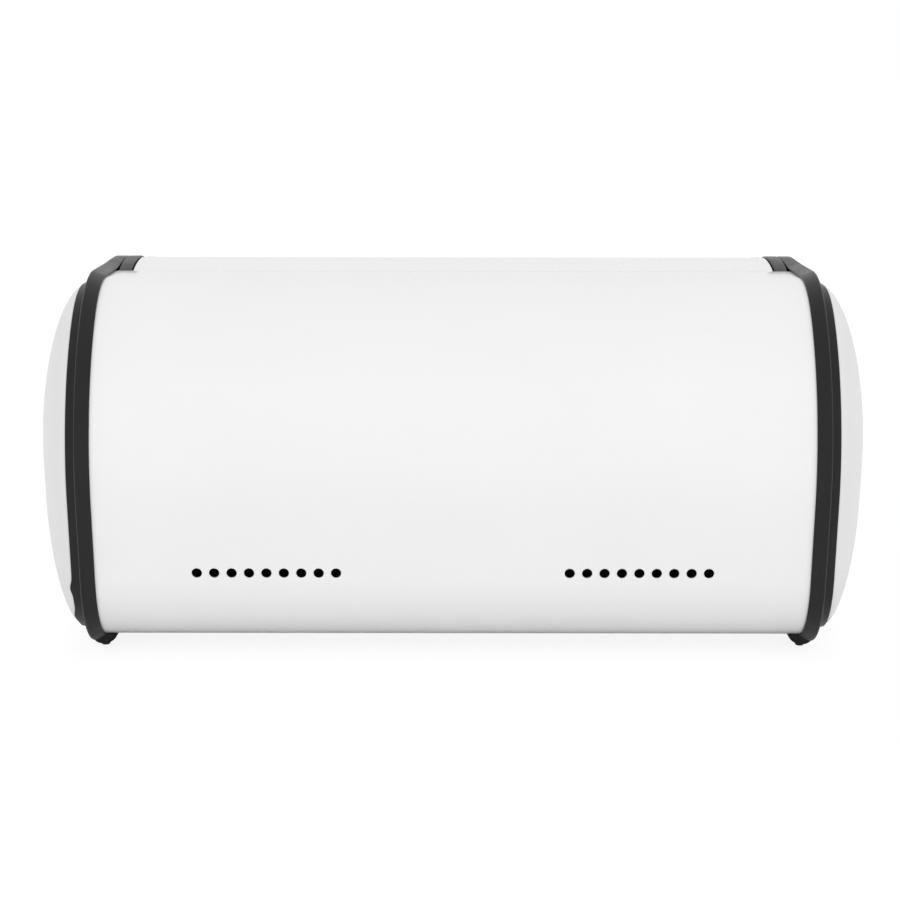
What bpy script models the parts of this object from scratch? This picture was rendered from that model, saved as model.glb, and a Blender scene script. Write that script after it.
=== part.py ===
"""Roll-top bread box: a bent sheet body between two moulded end frames with domed caps, and a roll lid.

X runs across the box, Y towards its back and Z up. The side outline is drawn in two numbers: depth,
measured forwards from the rearmost line of the sheet, and height above the floor. Lengths are in metres.
"""

import math

import bmesh
import bpy
from mathutils import Vector

# Side outline of the bent sheet, going round from the top, down the back and under the bread
TOP_BEND_RADIUS = 0.054
TOP_BEND_TURN = math.radians(42.7)
BACK_RADIUS = 0.0988
BACK_TURN = math.radians(57.3)
BACK_FLAT = 0.0396
HEEL_RADIUS = 0.043
TOE_RADIUS = 0.022
GROUND_GAP = 0.0077
SHEET = 0.0008
SHEET_HALF_WIDTH = 0.1775
HEM_LENGTH = 0.006
HEM_ROOT_SHARE = 0.5

# Roll lid, drawn round its pivot; angles are measured upwards from straight ahead
LID_RADIUS = 0.1235
LID_RISE = 0.0035
LID_BACK_CLEARANCE = 0.0148
LID_SHEET = 0.0008
LID_UNDER_HOOD = 0.0012
LID_TAIL_OVERLAP = 0.009
LID_LOW_STEP = 0.00202
LID_SHEET_INSET = 0.0108
SILL_OVERLAP = 0.01257

# Small clearances
FIT = 0.0003
CUT_OVERRUN = 0.002

# End frame: the section that runs round the end, as rise above the sheet and place across
BEAD_RISE = 0.0042
BEAD_OVERLAP = 0.0030
BEAD_WIDTH = 0.0072
BEAD_INNER_ROUND = 0.0012
BEAD_OUTER_ROUND = 0.0028
RING_WIDTH = 0.0051
RING_DROP = 0.0028
RING_ROUND = 0.0018
RING_LIP = 0.0044
LEDGE = 0.0015
LEDGE_REACH = 0.0026
WALL = 0.0020
WALL_STANDOFF = 0.0005
CAP_SEAT_INSET = 0.0044
CAP_SEAT_WIDTH = 0.0034
BEAD_INNER_X = SHEET_HALF_WIDTH - BEAD_OVERLAP
BEAD_OUTER_X = BEAD_INNER_X + BEAD_WIDTH
RING_OUTER_X = BEAD_OUTER_X + RING_WIDTH
WALL_INNER_X = SHEET_HALF_WIDTH + WALL_STANDOFF
CAP_SEAT_X = RING_OUTER_X - CAP_SEAT_INSET
LID_SHEET_HALF_WIDTH = SHEET_HALF_WIDTH - LID_SHEET_INSET

# Domed end cap
CAP_DEPTH = 0.0277
CAP_SKIN = 0.0016
CAP_COLLAR = 0.0004
CAP_ROUNDNESS = 1.5
CAP_RING_SHARES = (0.985, 0.94, 0.85, 0.68, 0.46, 0.24, 0.08)
CAP_INNER_SHARES = (0.94, 0.74, 0.42, 0.12)
CAP_POST_RADIUS = 0.0045
POST_SINK_SHARE = 0.25
CAP_APEX_X = RING_OUTER_X + CAP_DEPTH

# The cap's middle and its posts, as shares of the outline's depth and of its top's height
CAP_CENTRE_DEPTH_SHARE = 0.4336
CAP_CENTRE_HEIGHT_SHARE = 0.5421
CAP_POST_ALONG_SHARE = 0.1936
CAP_POST_UP_SHARE = 0.2040

# Pivots of the lid
PIN_RADIUS = 0.0030
PIN_HEAD_RADIUS = 0.0065
PIN_HEAD = 0.0024
PIN_HEAD_TOP_SHARE = 0.8
PIN_HEAD_EDGE_SHARE = 0.7
PIN_SLOT_WIDTH = 0.0014
PIN_SLOT_DEPTH = 0.0010
PIN_GRIP = 0.0030
BUSH_WALL = 0.0012
HUB_RADIUS = 0.0100
HUB_LENGTH = 0.0066
HUB_ROOT_SHARE = 0.9
HUB_ROOT_TURN = math.radians(45.0)
BOSS_RADIUS = 0.0110
BOSS_LENGTH = 0.0040
WASHER_RADIUS = 0.0090
WASHER_THICKNESS = 0.0008

# Cheeks: the moulded side walls of the lid
CHEEK_WALL_GAP = 0.0054
CHEEK_WALL = 0.0018
CHEEK_TRIM_GAP = 0.0005
CHEEK_TRIM_STEP = 0.0008
CHEEK_TRIM_RISE = 0.0007
CHEEK_TRIM_ROUND = 0.0010
CHEEK_TRIM_SEAM_ROUND = 0.0004
CHEEK_SEAT = 0.0016
CHEEK_SEAT_REACH = 0.0050
CHEEK_LIP_GAP = 0.0005
CHEEK_WALL_LIP_GAP = 0.0063
CHEEK_WALL_OUTER_X = WALL_INNER_X - CHEEK_WALL_GAP
CHEEK_TRIM_OUTER_X = BEAD_INNER_X - CHEEK_TRIM_GAP
CHEEK_TRIM_INNER_X = LID_SHEET_HALF_WIDTH + CHEEK_TRIM_STEP

# Rivets that join the lid's sheet to its cheeks, at shares of the way from the lid's low edge to its tail
RIVET_RADIUS = 0.0013
RIVET_HEAD_RADIUS = 0.0026
RIVET_HEAD = 0.0006
RIVET_EDGE_DISTANCE = 0.0030
RIVET_SHARES = (0.10, 0.325, 0.55, 0.775)

# Rail on the lower edge of the lid
RAIL_HEIGHT = 0.0105
RAIL_OUTER_WALL = 0.0013
RAIL_INNER_WALL = 0.0012
RAIL_FOOT = 0.0016

# Bow handle on the lid
HANDLE_HALF_LENGTH = 0.058
HANDLE_REACH = 0.0165
HANDLE_BAR_THICKNESS = 0.0052
HANDLE_BAR_WIDTH = 0.0110
HANDLE_POST_WIDTH = 0.0130
HANDLE_RUN = 0.0431
HANDLE_SHOULDER_SHARE = 0.92
HANDLE_BEND_RADIUS = 0.0068
HANDLE_POST_SWELL_SHARE = 0.5
HANDLE_WIDTH_POWER = 0.6
HANDLE_THICKNESS_POWER = 0.8
HANDLE_SCREW_RADIUS = 0.0016
HANDLE_SCREW_HEAD_RADIUS = 0.0034
HANDLE_SCREW_HEAD = 0.0018
HANDLE_SCREW_LENGTH = 0.0080

# Vent holes in the back
VENT_RADIUS = 0.0024
VENT_PITCH = 0.00849
VENT_COUNT = 9
VENT_INNERMOST_X = 0.05695
VENT_DROP = 0.0032

# Feet, pads and the screws that hold the frames
FOOT_INNER_REACH = 0.0050
FOOT_OUTER_REACH = 0.0021
FOOT_BOTTOM = 0.0013
FOOT_LENGTH = 0.030
FOOT_ROUND = 0.0036
REAR_FOOT_SETBACK = 0.0052
FRONT_FOOT_SETBACK = 0.0028
PAD_THICKNESS = 0.0010
PAD_MARGIN = 0.0046
FOOT_SCREW_RADIUS = 0.0012
FOOT_SCREW_HEAD_RADIUS = 0.0021
FOOT_SCREW_HEAD = 0.0014
FOOT_SCREW_BITE = 0.0045
FOOT_SCREW_INSET = 0.0030
CAP_SCREW_RADIUS = 0.0014
CAP_SCREW_HEAD_RADIUS = 0.0030
CAP_SCREW_HEAD = 0.0018
CAP_SCREW_BITE = 0.0080
FOOT_INNER_X = BEAD_INNER_X - FOOT_INNER_REACH
FOOT_OUTER_X = BEAD_OUTER_X + FOOT_OUTER_REACH
FOOT_SCREW_X = FOOT_INNER_X + FOOT_SCREW_INSET

# Rubber buffers on the front lip
BUFFER_WIDTH = 0.014
BUFFER_INSET = 0.0495
BUFFER_THICKNESS = 0.0036
BUFFER_TURN = math.radians(30.0)
BUFFER_X = SHEET_HALF_WIDTH - BUFFER_INSET

# Shares of a fastener's head
PAN_EDGE_SHARE = 0.55
PAN_TOP_SHARE = 0.60
RIVET_FORMED_SHARE = 0.85
RIVET_TOP_SHARE = 0.40

# Facets
FULL_TURN = 2.0 * math.pi
QUARTER_TURN = math.pi / 2.0
FRONT_STEPS = 18
LIP_STEPS = 3
TOP_BEND_STEPS = 6
BACK_STEPS = 8
HEEL_STEPS = 8
TOE_STEPS = 5
CORNER_STEPS = 2
LID_STEPS = 22
HANDLE_BEND_STEPS = 5
HANDLE_SECTION_STEPS = 10
PAD_STEPS = 6
ROUND_STEPS = 16
HOLE_STEPS = 12
SCREW_STEPS = 10
RIVET_STEPS = 8
SMOOTH_ANGLE = math.radians(35.0)


# Plain geometry in the side view


def on_circle(centre, radius, angle):
    """Point at an angle from straight ahead, counted upwards, on a circle in the side view."""
    return (centre[0] + radius * math.cos(angle), centre[1] + radius * math.sin(angle))


def arc(centre, radius, start, end, steps):
    """Points along an arc, both ends included."""
    return [on_circle(centre, radius, start + (end - start) * i / steps) for i in range(steps + 1)]


class SideOutline:
    """The closed outline of the box's end, as a chain of arcs that flow into each other.

    Going from the lid's crest to the back, the sheet bends down with the top bend, follows the wide back
    arc, runs straight, and turns under the bread with the heel. The toe joins the floor to the lid's arc.
    """

    def __init__(self):
        self.front_radius = LID_RADIUS - LID_RISE
        self.bend_end = QUARTER_TURN + TOP_BEND_TURN
        self.back_end = self.bend_end + BACK_TURN
        # The heel sits below the back arc, at the end of the straight run
        drop = (BACK_RADIUS - HEEL_RADIUS) * math.sin(self.back_end) + BACK_FLAT * math.cos(self.back_end)
        ahead = (BACK_RADIUS - HEEL_RADIUS) * math.cos(self.back_end) - BACK_FLAT * math.sin(self.back_end)
        self.heel = (BACK_RADIUS + ahead, GROUND_GAP + HEEL_RADIUS)
        self.back = (BACK_RADIUS, self.heel[1] - drop)
        self.bend = on_circle(self.back, BACK_RADIUS - TOP_BEND_RADIUS, self.bend_end)
        self.top = self.bend[1] + TOP_BEND_RADIUS
        self.pivot = (LID_RADIUS + LID_BACK_CLEARANCE, self.top - self.front_radius)
        toe_height = GROUND_GAP + TOE_RADIUS
        toe_fall = self.pivot[1] - toe_height
        toe_reach = math.sqrt((self.front_radius - TOE_RADIUS) ** 2 - toe_fall ** 2)
        self.toe = (self.pivot[0] + toe_reach, toe_height)
        self.toe_end = -math.atan2(toe_fall, toe_reach)

    def front_arc(self, rise, start, end, steps):
        return arc(self.pivot, self.front_radius + rise, start, end, steps)

    def rear_path(self, rise):
        """From the end of the top bend down the back and round the heel."""
        points = arc(self.bend, TOP_BEND_RADIUS + rise, QUARTER_TURN, self.bend_end, TOP_BEND_STEPS)
        points += arc(self.back, BACK_RADIUS + rise, self.bend_end, self.back_end, BACK_STEPS)[1:]
        points += arc(self.heel, HEEL_RADIUS + rise, self.back_end, FULL_TURN - QUARTER_TURN, HEEL_STEPS)
        return points

    def toe_path(self, rise):
        return arc(self.toe, TOE_RADIUS + rise, -QUARTER_TURN, self.toe_end, TOE_STEPS)

    def closed(self, rise):
        """The whole outline, moved outwards by rise, always with the same number of points."""
        points = self.front_arc(rise, self.toe_end, QUARTER_TURN, FRONT_STEPS)
        points += self.rear_path(rise)
        points += self.toe_path(rise)[:-1]
        return points


SIDE = SideOutline()
PIVOT = SIDE.pivot

# The hood edge is where the lid's sheet has sunk far enough to pass under the fixed sheet
HOOD_LEVEL = SIDE.top - PIVOT[1] - SHEET - LID_UNDER_HOOD
HOOD_EDGE_DEPTH = PIVOT[0] - math.sqrt(LID_RADIUS ** 2 - HOOD_LEVEL ** 2)
LID_TAIL_ANGLE = math.pi - math.asin(HOOD_LEVEL / LID_RADIUS) + LID_TAIL_OVERLAP / LID_RADIUS

# The lid's low edge lies just above the toe's joint with the lip, and what it carries is measured from there
LID_LOW_ANGLE = SIDE.toe_end + LID_LOW_STEP / LID_RADIUS
SILL_TOP_ANGLE = LID_LOW_ANGLE + SILL_OVERLAP / SIDE.front_radius
CHEEK_WALL_LOW_ANGLE = SILL_TOP_ANGLE + CHEEK_WALL_LIP_GAP / SIDE.front_radius
HANDLE_ANGLE = LID_LOW_ANGLE + HANDLE_RUN / LID_RADIUS
RIVET_ANGLES = [LID_LOW_ANGLE + (LID_TAIL_ANGLE - LID_LOW_ANGLE) * share for share in RIVET_SHARES]
BUFFER_LOW_ANGLE = SIDE.toe_end - BUFFER_TURN

# Vents and feet follow the heel and the toe, and the cap's middle and posts the whole outline
VENT_HEIGHT = SIDE.heel[1] - VENT_DROP
REAR_FOOT_DEPTH = SIDE.heel[0] - REAR_FOOT_SETBACK
FRONT_FOOT_DEPTH = SIDE.toe[0] + FRONT_FOOT_SETBACK - FOOT_LENGTH
OUTLINE_DEPTH = PIVOT[0] + SIDE.front_radius
CAP_CENTRE_DEPTH = OUTLINE_DEPTH * CAP_CENTRE_DEPTH_SHARE
CAP_CENTRE_HEIGHT = SIDE.top * CAP_CENTRE_HEIGHT_SHARE
CAP_POST_ALONG = OUTLINE_DEPTH * CAP_POST_ALONG_SHARE
CAP_POST_UP = SIDE.top * CAP_POST_UP_SHARE

# The box is centred on the floor: its rear is the frame's bead, its front the handle
FRONT_REACH = PIVOT[0] + (LID_RADIUS + HANDLE_REACH) * math.cos(HANDLE_ANGLE)
ORIGIN_DEPTH = (FRONT_REACH - BEAD_RISE) / 2.0


def place(point, across, mirror=1.0):
    """World point for a side-view point and a place across the box."""
    return (mirror * across, ORIGIN_DEPTH - point[0], point[1])


def place_on_lid(point, across, mirror=1.0):
    """Point measured from the lid's pivot, for the pieces that hang on the hinge."""
    return (mirror * across, PIVOT[0] - point[0], point[1] - PIVOT[1])


# Materials


def make_material(name, colour, roughness, metallic=0.0):
    material = bpy.data.materials.new(name)
    material.use_nodes = True
    shader = material.node_tree.nodes["Principled BSDF"]
    shader.inputs["Base Color"].default_value = (*colour, 1.0)
    shader.inputs["Roughness"].default_value = roughness
    shader.inputs["Metallic"].default_value = metallic
    material.diffuse_color = (*colour, 1.0)
    return material


def make_materials():
    return {
        "white enamel": make_material("white_enamel", (0.86, 0.86, 0.87), 0.18),
        "white plastic": make_material("white_plastic", (0.84, 0.84, 0.85), 0.25),
        "black plastic": make_material("black_plastic", (0.018, 0.018, 0.020), 0.38),
        "rubber": make_material("rubber", (0.030, 0.030, 0.030), 0.80),
        "nylon": make_material("nylon", (0.72, 0.71, 0.66), 0.45),
        "steel": make_material("steel", (0.62, 0.62, 0.63), 0.30, 1.0),
    }


# Building meshes


def add_loop(bm, points):
    return [bm.verts.new(point) for point in points]


def bridge(bm, first, second):
    """Quads between two closed loops with the same number of points."""
    count = len(first)
    for i in range(count):
        j = (i + 1) % count
        bm.faces.new((first[i], first[j], second[j], second[i]))


def lofted(loops):
    """Closed body through a row of loops, with a flat face on each end."""
    bm = bmesh.new()
    rings = [add_loop(bm, loop) for loop in loops]
    for first, second in zip(rings, rings[1:]):
        bridge(bm, first, second)
    bm.faces.new(rings[0])
    bm.faces.new(rings[-1])
    bmesh.ops.recalc_face_normals(bm, faces=bm.faces)
    return bm


def prism(outline, start, end, placer, mirror=1.0):
    """A side-view outline carried straight across the box."""
    return lofted([[placer(point, x, mirror) for point in outline] for x in (start, end)])


def turned(centre, stations, placer, mirror=1.0, steps=ROUND_STEPS):
    """A round body about an axis across the box; stations are pairs of place across and radius."""
    loops = []
    for across, radius in stations:
        circle = [on_circle(centre, radius, FULL_TURN * i / steps) for i in range(steps)]
        loops.append([placer(point, across, mirror) for point in circle])
    return lofted(loops)


def upright(depth, across, stations, placer, mirror=1.0, steps=ROUND_STEPS):
    """A round body about an upright axis; stations are pairs of height and radius."""
    loops = []
    for height, radius in stations:
        circle = [on_circle((depth, across), radius, FULL_TURN * i / steps) for i in range(steps)]
        loops.append([placer((point[0], height), point[1], mirror) for point in circle])
    return lofted(loops)


def radial(angle, across, stations, placer, mirror=1.0, steps=ROUND_STEPS):
    """A round body whose axis points away from the pivot; stations are pairs of distance and radius."""
    loops = []
    for distance, radius in stations:
        loop = []
        for i in range(steps):
            turn = FULL_TURN * i / steps
            centre = on_circle(PIVOT, distance, angle)
            side = radius * math.cos(turn)
            point = (centre[0] - side * math.sin(angle), centre[1] + side * math.cos(angle))
            loop.append(placer(point, across + radius * math.sin(turn), mirror))
        loops.append(loop)
    return lofted(loops)


def joined(bodies):
    """Several separate closed bodies in one mesh."""
    whole = bmesh.new()
    for body in bodies:
        mesh = bpy.data.meshes.new("body")
        body.to_mesh(mesh)
        body.free()
        whole.from_mesh(mesh)
        bpy.data.meshes.remove(mesh)
    return whole


def round_corner(before, corner, after, radius, steps):
    """Points of a fillet in a corner of a path."""
    first = math.hypot(before[0] - corner[0], before[1] - corner[1])
    second = math.hypot(after[0] - corner[0], after[1] - corner[1])
    one = ((before[0] - corner[0]) / first, (before[1] - corner[1]) / first)
    two = ((after[0] - corner[0]) / second, (after[1] - corner[1]) / second)
    half = math.acos(one[0] * two[0] + one[1] * two[1]) / 2.0
    reach = min(radius / math.tan(half), first / 2.0, second / 2.0)
    radius = reach * math.tan(half)
    middle = (one[0] + two[0], one[1] + two[1])
    size = math.hypot(*middle)
    centre_distance = radius / math.sin(half)
    centre = [corner[i] + middle[i] / size * centre_distance for i in (0, 1)]
    start = math.atan2(corner[1] + one[1] * reach - centre[1], corner[0] + one[0] * reach - centre[0])
    end = math.atan2(corner[1] + two[1] * reach - centre[1], corner[0] + two[0] * reach - centre[0])
    turn = (end - start + math.pi) % FULL_TURN - math.pi
    return arc(centre, radius, start, start + turn, steps)


def rounded_path(corners, closed=False, steps=CORNER_STEPS):
    """Path through corners given as (a, b, radius), with the corners filleted."""
    points = []
    count = len(corners)
    for i, (a, b, radius) in enumerate(corners):
        inside = closed or 0 < i < count - 1
        if inside and radius > 0:
            points += round_corner(corners[i - 1][:2], (a, b), corners[(i + 1) % count][:2], radius, steps)
        else:
            points.append((a, b))
    return points


# Objects


def add_object(name, bm, material, parent=None):
    mesh = bpy.data.meshes.new(name)
    bm.to_mesh(mesh)
    bm.free()
    mesh.materials.append(material)
    mesh.shade_smooth()
    mesh.set_sharp_from_angle(angle=SMOOTH_ANGLE)
    item = bpy.data.objects.new(name, mesh)
    bpy.context.scene.collection.objects.link(item)
    item.parent = parent
    return item


def fastener_mesh(name, stations, material, steps):
    """Mesh of a small fastener turned about its own upward axis; stations are height and radius."""
    loops = []
    for height, radius in stations:
        circle = [on_circle((0, 0), radius, FULL_TURN * i / steps) for i in range(steps)]
        loops.append([(x, y, height) for x, y in circle])
    bm = lofted(loops)
    mesh = bpy.data.meshes.new(name)
    bm.to_mesh(mesh)
    bm.free()
    mesh.materials.append(material)
    mesh.shade_smooth()
    mesh.set_sharp_from_angle(angle=SMOOTH_ANGLE)
    return mesh


def add_fastener(name, mesh, seat, direction, parent=None):
    """One fastener with its head's seat at a point and its head pointing in a direction."""
    item = bpy.data.objects.new(name, mesh)
    bpy.context.scene.collection.objects.link(item)
    item.location = seat
    item.rotation_mode = "QUATERNION"
    item.rotation_quaternion = Vector(direction).to_track_quat("Z", "Y")
    item.parent = parent
    return item


def pan_head_stations(shank, length, head_radius, head):
    """Shank below the seat and a pan head above it."""
    return [
        (-length, shank),
        (0, shank),
        (0, head_radius),
        (head * PAN_EDGE_SHARE, head_radius),
        (head, head_radius * PAN_TOP_SHARE),
    ]


def add_boolean(target, bm, operation, label):
    """Cut or add one closed body with a live Boolean; the tool itself stays out of the build."""
    mesh = bpy.data.meshes.new(label)
    bm.to_mesh(mesh)
    bm.free()
    tool = bpy.data.objects.new(label, mesh)
    bpy.context.scene.collection.objects.link(tool)
    tool.hide_render = True
    tool.display_type = "WIRE"
    tool.parent = target.parent
    modifier = target.modifiers.new(label, "BOOLEAN")
    modifier.operation = operation
    modifier.solver = "EXACT"
    modifier.object = tool
    return modifier


def make_lid_hinge():
    """Empty on the lid's axis, which carries every piece of the lid."""
    hinge = bpy.data.objects.new("lid_hinge", None)
    bpy.context.scene.collection.objects.link(hinge)
    hinge.location = (0, ORIGIN_DEPTH - PIVOT[0], PIVOT[1])
    return hinge


# Fixed sheet body


def shell_outline():
    """Outer side of the sheet from the hood edge to the front lip, then back along the inner side."""
    outer = [(HOOD_EDGE_DEPTH, SIDE.top)] + SIDE.rear_path(0) + SIDE.toe_path(0)
    outer += SIDE.front_arc(0, SIDE.toe_end, SILL_TOP_ANGLE, LIP_STEPS)[1:]
    inner = SIDE.front_arc(-SHEET, SILL_TOP_ANGLE, SIDE.toe_end, LIP_STEPS)
    inner += SIDE.toe_path(-SHEET)[-2::-1] + SIDE.rear_path(-SHEET)[::-1]
    inner.append((HOOD_EDGE_DEPTH, SIDE.top - SHEET))
    return outer + inner


def front_hem():
    """The lip's edge folded back on the inside, between the ledges of the two frames."""
    top = SILL_TOP_ANGLE - SHEET / SIDE.front_radius
    low = top - HEM_LENGTH / SIDE.front_radius
    outline = SIDE.front_arc(-SHEET * HEM_ROOT_SHARE, top, low, LIP_STEPS)
    outline += SIDE.front_arc(-SHEET - SHEET, low, top, LIP_STEPS)
    reach = WALL_INNER_X - LEDGE_REACH - FIT
    return prism(outline, -reach, reach, place)


def vent_places():
    for side in (-1, 1):
        for i in range(VENT_COUNT):
            yield side * (VENT_INNERMOST_X + i * VENT_PITCH)


def vent_cutters():
    """Round holes straight through the back, in a row on each side of the middle."""
    bodies = []
    for middle in vent_places():
        circle = [on_circle((middle, VENT_HEIGHT), VENT_RADIUS, FULL_TURN * i / HOLE_STEPS)
                  for i in range(HOLE_STEPS)]
        bodies.append(lofted([[place((depth, height), across) for across, height in circle]
                              for depth in (-CUT_OVERRUN, SIDE.heel[0])]))
    return joined(bodies)


def make_body_shell(materials):
    body = prism(shell_outline(), -SHEET_HALF_WIDTH, SHEET_HALF_WIDTH, place)
    shell = add_object("body_shell", body, materials["white enamel"])
    add_boolean(shell, front_hem(), "UNION", "front_hem")
    add_boolean(shell, vent_cutters(), "DIFFERENCE", "vent_holes")
    ends = (GROUND_GAP - CUT_OVERRUN, GROUND_GAP + SHEET + CUT_OVERRUN)
    stations = [(height, FOOT_SCREW_RADIUS + FIT) for height in ends]
    holes = [upright(depth, FOOT_SCREW_X, stations, place, mirror, SCREW_STEPS)
             for mirror in (-1.0, 1.0) for depth in foot_screw_depths()]
    add_boolean(shell, joined(holes), "DIFFERENCE", "foot_screw_holes")


# End frames


def frame_section():
    """Path of the frame's section as (rise above the sheet, place across), from inner to outer wall face."""
    groove_floor = SHEET_HALF_WIDTH + FIT
    groove_low = -SHEET - FIT
    ledge_low = groove_low - LEDGE
    ledge_tip = WALL_INNER_X - LEDGE_REACH
    corners = [
        (ledge_low, WALL_INNER_X, 0),
        (ledge_low, ledge_tip, 0),
        (groove_low, ledge_tip, 0),
        (groove_low, groove_floor, 0),
        (FIT, groove_floor, 0),
        (FIT, BEAD_INNER_X, 0),
        (BEAD_RISE, BEAD_INNER_X, BEAD_INNER_ROUND),
        (BEAD_RISE, BEAD_OUTER_X, BEAD_OUTER_ROUND),
        (-RING_DROP, BEAD_OUTER_X, 0),
        (-RING_DROP, RING_OUTER_X, RING_ROUND),
        (-RING_LIP, RING_OUTER_X, 0),
        (-RING_LIP, CAP_SEAT_X, 0),
        (-RING_LIP - CAP_SEAT_WIDTH, CAP_SEAT_X, 0),
        (-RING_LIP - CAP_SEAT_WIDTH, WALL_INNER_X + WALL, 0),
    ]
    return rounded_path(corners)


def foot_body(depth, mirror):
    """Rounded block under the frame, reaching a little under the sheet."""
    top = GROUND_GAP - FIT
    corners = [
        (FOOT_INNER_X, top, 0),
        (FOOT_INNER_X, FOOT_BOTTOM, FOOT_ROUND),
        (FOOT_OUTER_X, FOOT_BOTTOM, FOOT_ROUND),
        (FOOT_OUTER_X, top, 0),
    ]
    section = rounded_path(corners)
    loops = [[place((d, height), across, mirror) for across, height in section]
             for d in (depth, depth + FOOT_LENGTH)]
    return lofted(loops)


def foot_screw_depths():
    return [depth + FOOT_LENGTH / 2.0 for depth in (REAR_FOOT_DEPTH, FRONT_FOOT_DEPTH)]


def cap_post_places():
    """Four places round the middle of the end, in the side view."""
    for along in (-1.0, 1.0):
        for up in (-1.0, 1.0):
            yield (CAP_CENTRE_DEPTH + along * CAP_POST_ALONG, CAP_CENTRE_HEIGHT + up * CAP_POST_UP)


def boss_face_x():
    return WALL_INNER_X - BOSS_LENGTH


def frame_bores(mirror):
    """Blind bores for the pivot pin and the foot screws, and holes through the wall for the cap's screws."""
    pin_ends = (boss_face_x() - CUT_OVERRUN, boss_face_x() + PIN_GRIP + FIT)
    bores = [turned(PIVOT, [(x, PIN_RADIUS + FIT) for x in pin_ends], place, mirror)]
    wall_ends = (WALL_INNER_X - CUT_OVERRUN, WALL_INNER_X + WALL + CUT_OVERRUN)
    stations = [(x, CAP_SCREW_RADIUS + FIT) for x in wall_ends]
    bores += [turned(point, stations, place, mirror, SCREW_STEPS) for point in cap_post_places()]
    foot_ends = (GROUND_GAP - FOOT_SCREW_BITE - FIT, GROUND_GAP + CUT_OVERRUN)
    stations = [(height, FOOT_SCREW_RADIUS + FIT) for height in foot_ends]
    bores += [upright(depth, FOOT_SCREW_X, stations, place, mirror, SCREW_STEPS)
              for depth in foot_screw_depths()]
    return joined(bores)


def make_end_frame(side, mirror, materials):
    section = frame_section()
    loops = [[place(point, across, mirror) for point in SIDE.closed(rise)] for rise, across in section]
    frame = add_object("end_frame_" + side, lofted(loops), materials["black plastic"])
    feet = [foot_body(depth, mirror) for depth in (REAR_FOOT_DEPTH, FRONT_FOOT_DEPTH)]
    add_boolean(frame, joined(feet), "UNION", "feet_" + side)
    boss_ends = (boss_face_x(), WALL_INNER_X + WALL / 2.0)
    boss = turned(PIVOT, [(x, BOSS_RADIUS) for x in boss_ends], place, mirror)
    add_boolean(frame, boss, "UNION", "boss_" + side)
    add_boolean(frame, frame_bores(mirror), "DIFFERENCE", "bores_" + side)


# Domed end caps


def cap_outline(rise, share):
    """The end's outline shrunk towards the middle of the cap."""
    centre = (CAP_CENTRE_DEPTH, CAP_CENTRE_HEIGHT)
    return [(centre[0] + (point[0] - centre[0]) * share, centre[1] + (point[1] - centre[1]) * share)
            for point in SIDE.closed(rise)]


def dome_share(share):
    """Bulge of the dome at a share of the way out: 1 in the middle, 0 at the rim."""
    return (1.0 - share ** CAP_ROUNDNESS) ** (1.0 / CAP_ROUNDNESS)


def dome_skin(mirror):
    """Shell of the cap: up the outer side to the middle, then down the inner side to the rim."""
    rim = -RING_LIP - FIT
    inner_rim = rim - CAP_SKIN
    seat = CAP_SEAT_X + FIT
    base = RING_OUTER_X + CAP_COLLAR
    bulge = CAP_APEX_X - base
    outer = [(rim, 1.0, seat), (rim, 1.0, base)]
    outer += [(rim, share, base + bulge * dome_share(share)) for share in CAP_RING_SHARES]
    inner = [(inner_rim, 1.0, seat), (inner_rim, 1.0, base)]
    inner += [(inner_rim, share, base + (bulge - CAP_SKIN) * dome_share(share)) for share in CAP_INNER_SHARES]
    bm = bmesh.new()
    skins = []
    for stations in (outer, inner):
        rings = [add_loop(bm, [place(point, across, mirror) for point in cap_outline(rise, share)])
                 for rise, share, across in stations]
        for first, second in zip(rings, rings[1:]):
            bridge(bm, first, second)
        bm.faces.new(rings[-1])
        skins.append(rings)
    bridge(bm, skins[0][0], skins[1][0])
    bmesh.ops.recalc_face_normals(bm, faces=bm.faces)
    return bm


def make_end_cap(side, mirror, materials):
    cap = add_object("end_cap_" + side, dome_skin(mirror), materials["white plastic"])
    wall_face = WALL_INNER_X + WALL + FIT
    posts = [turned(point, [(x, CAP_POST_RADIUS) for x in (wall_face, post_tip_x(point))],
                    place, mirror, HOLE_STEPS) for point in cap_post_places()]
    add_boolean(cap, joined(posts), "UNION", "posts_" + side)
    bore_ends = (wall_face - CUT_OVERRUN, wall_face + CAP_SCREW_BITE + FIT)
    stations = [(x, CAP_SCREW_RADIUS + FIT) for x in bore_ends]
    bores = [turned(point, stations, place, mirror, SCREW_STEPS) for point in cap_post_places()]
    add_boolean(cap, joined(bores), "DIFFERENCE", "post_bores_" + side)


def rim_distance(toward):
    """Distance from the cap's middle to its rim, in the direction of a side-view point."""
    ray = (toward[0] - CAP_CENTRE_DEPTH, toward[1] - CAP_CENTRE_HEIGHT)
    outline = SIDE.closed(-RING_LIP - FIT)
    for one, two in zip(outline, outline[1:] + outline[:1]):
        edge = (two[0] - one[0], two[1] - one[1])
        start = (one[0] - CAP_CENTRE_DEPTH, one[1] - CAP_CENTRE_HEIGHT)
        cross = ray[0] * edge[1] - ray[1] * edge[0]
        if cross == 0:
            continue
        along = (start[0] * edge[1] - start[1] * edge[0]) / cross
        on_edge = (start[0] * ray[1] - start[1] * ray[0]) / cross
        if along > 0 and 0 <= on_edge <= 1:
            return along * math.hypot(*ray)
    raise ValueError("the middle of the cap lies outside its rim")


def post_tip_x(point):
    """Place across where a post ends inside the skin of the dome, at its side nearest the rim."""
    distance = math.hypot(point[0] - CAP_CENTRE_DEPTH, point[1] - CAP_CENTRE_HEIGHT)
    share = (distance + CAP_POST_RADIUS) / rim_distance(point)
    base = RING_OUTER_X + CAP_COLLAR
    return base + (CAP_APEX_X - base) * dome_share(share) - CAP_SKIN * POST_SINK_SHARE


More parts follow.
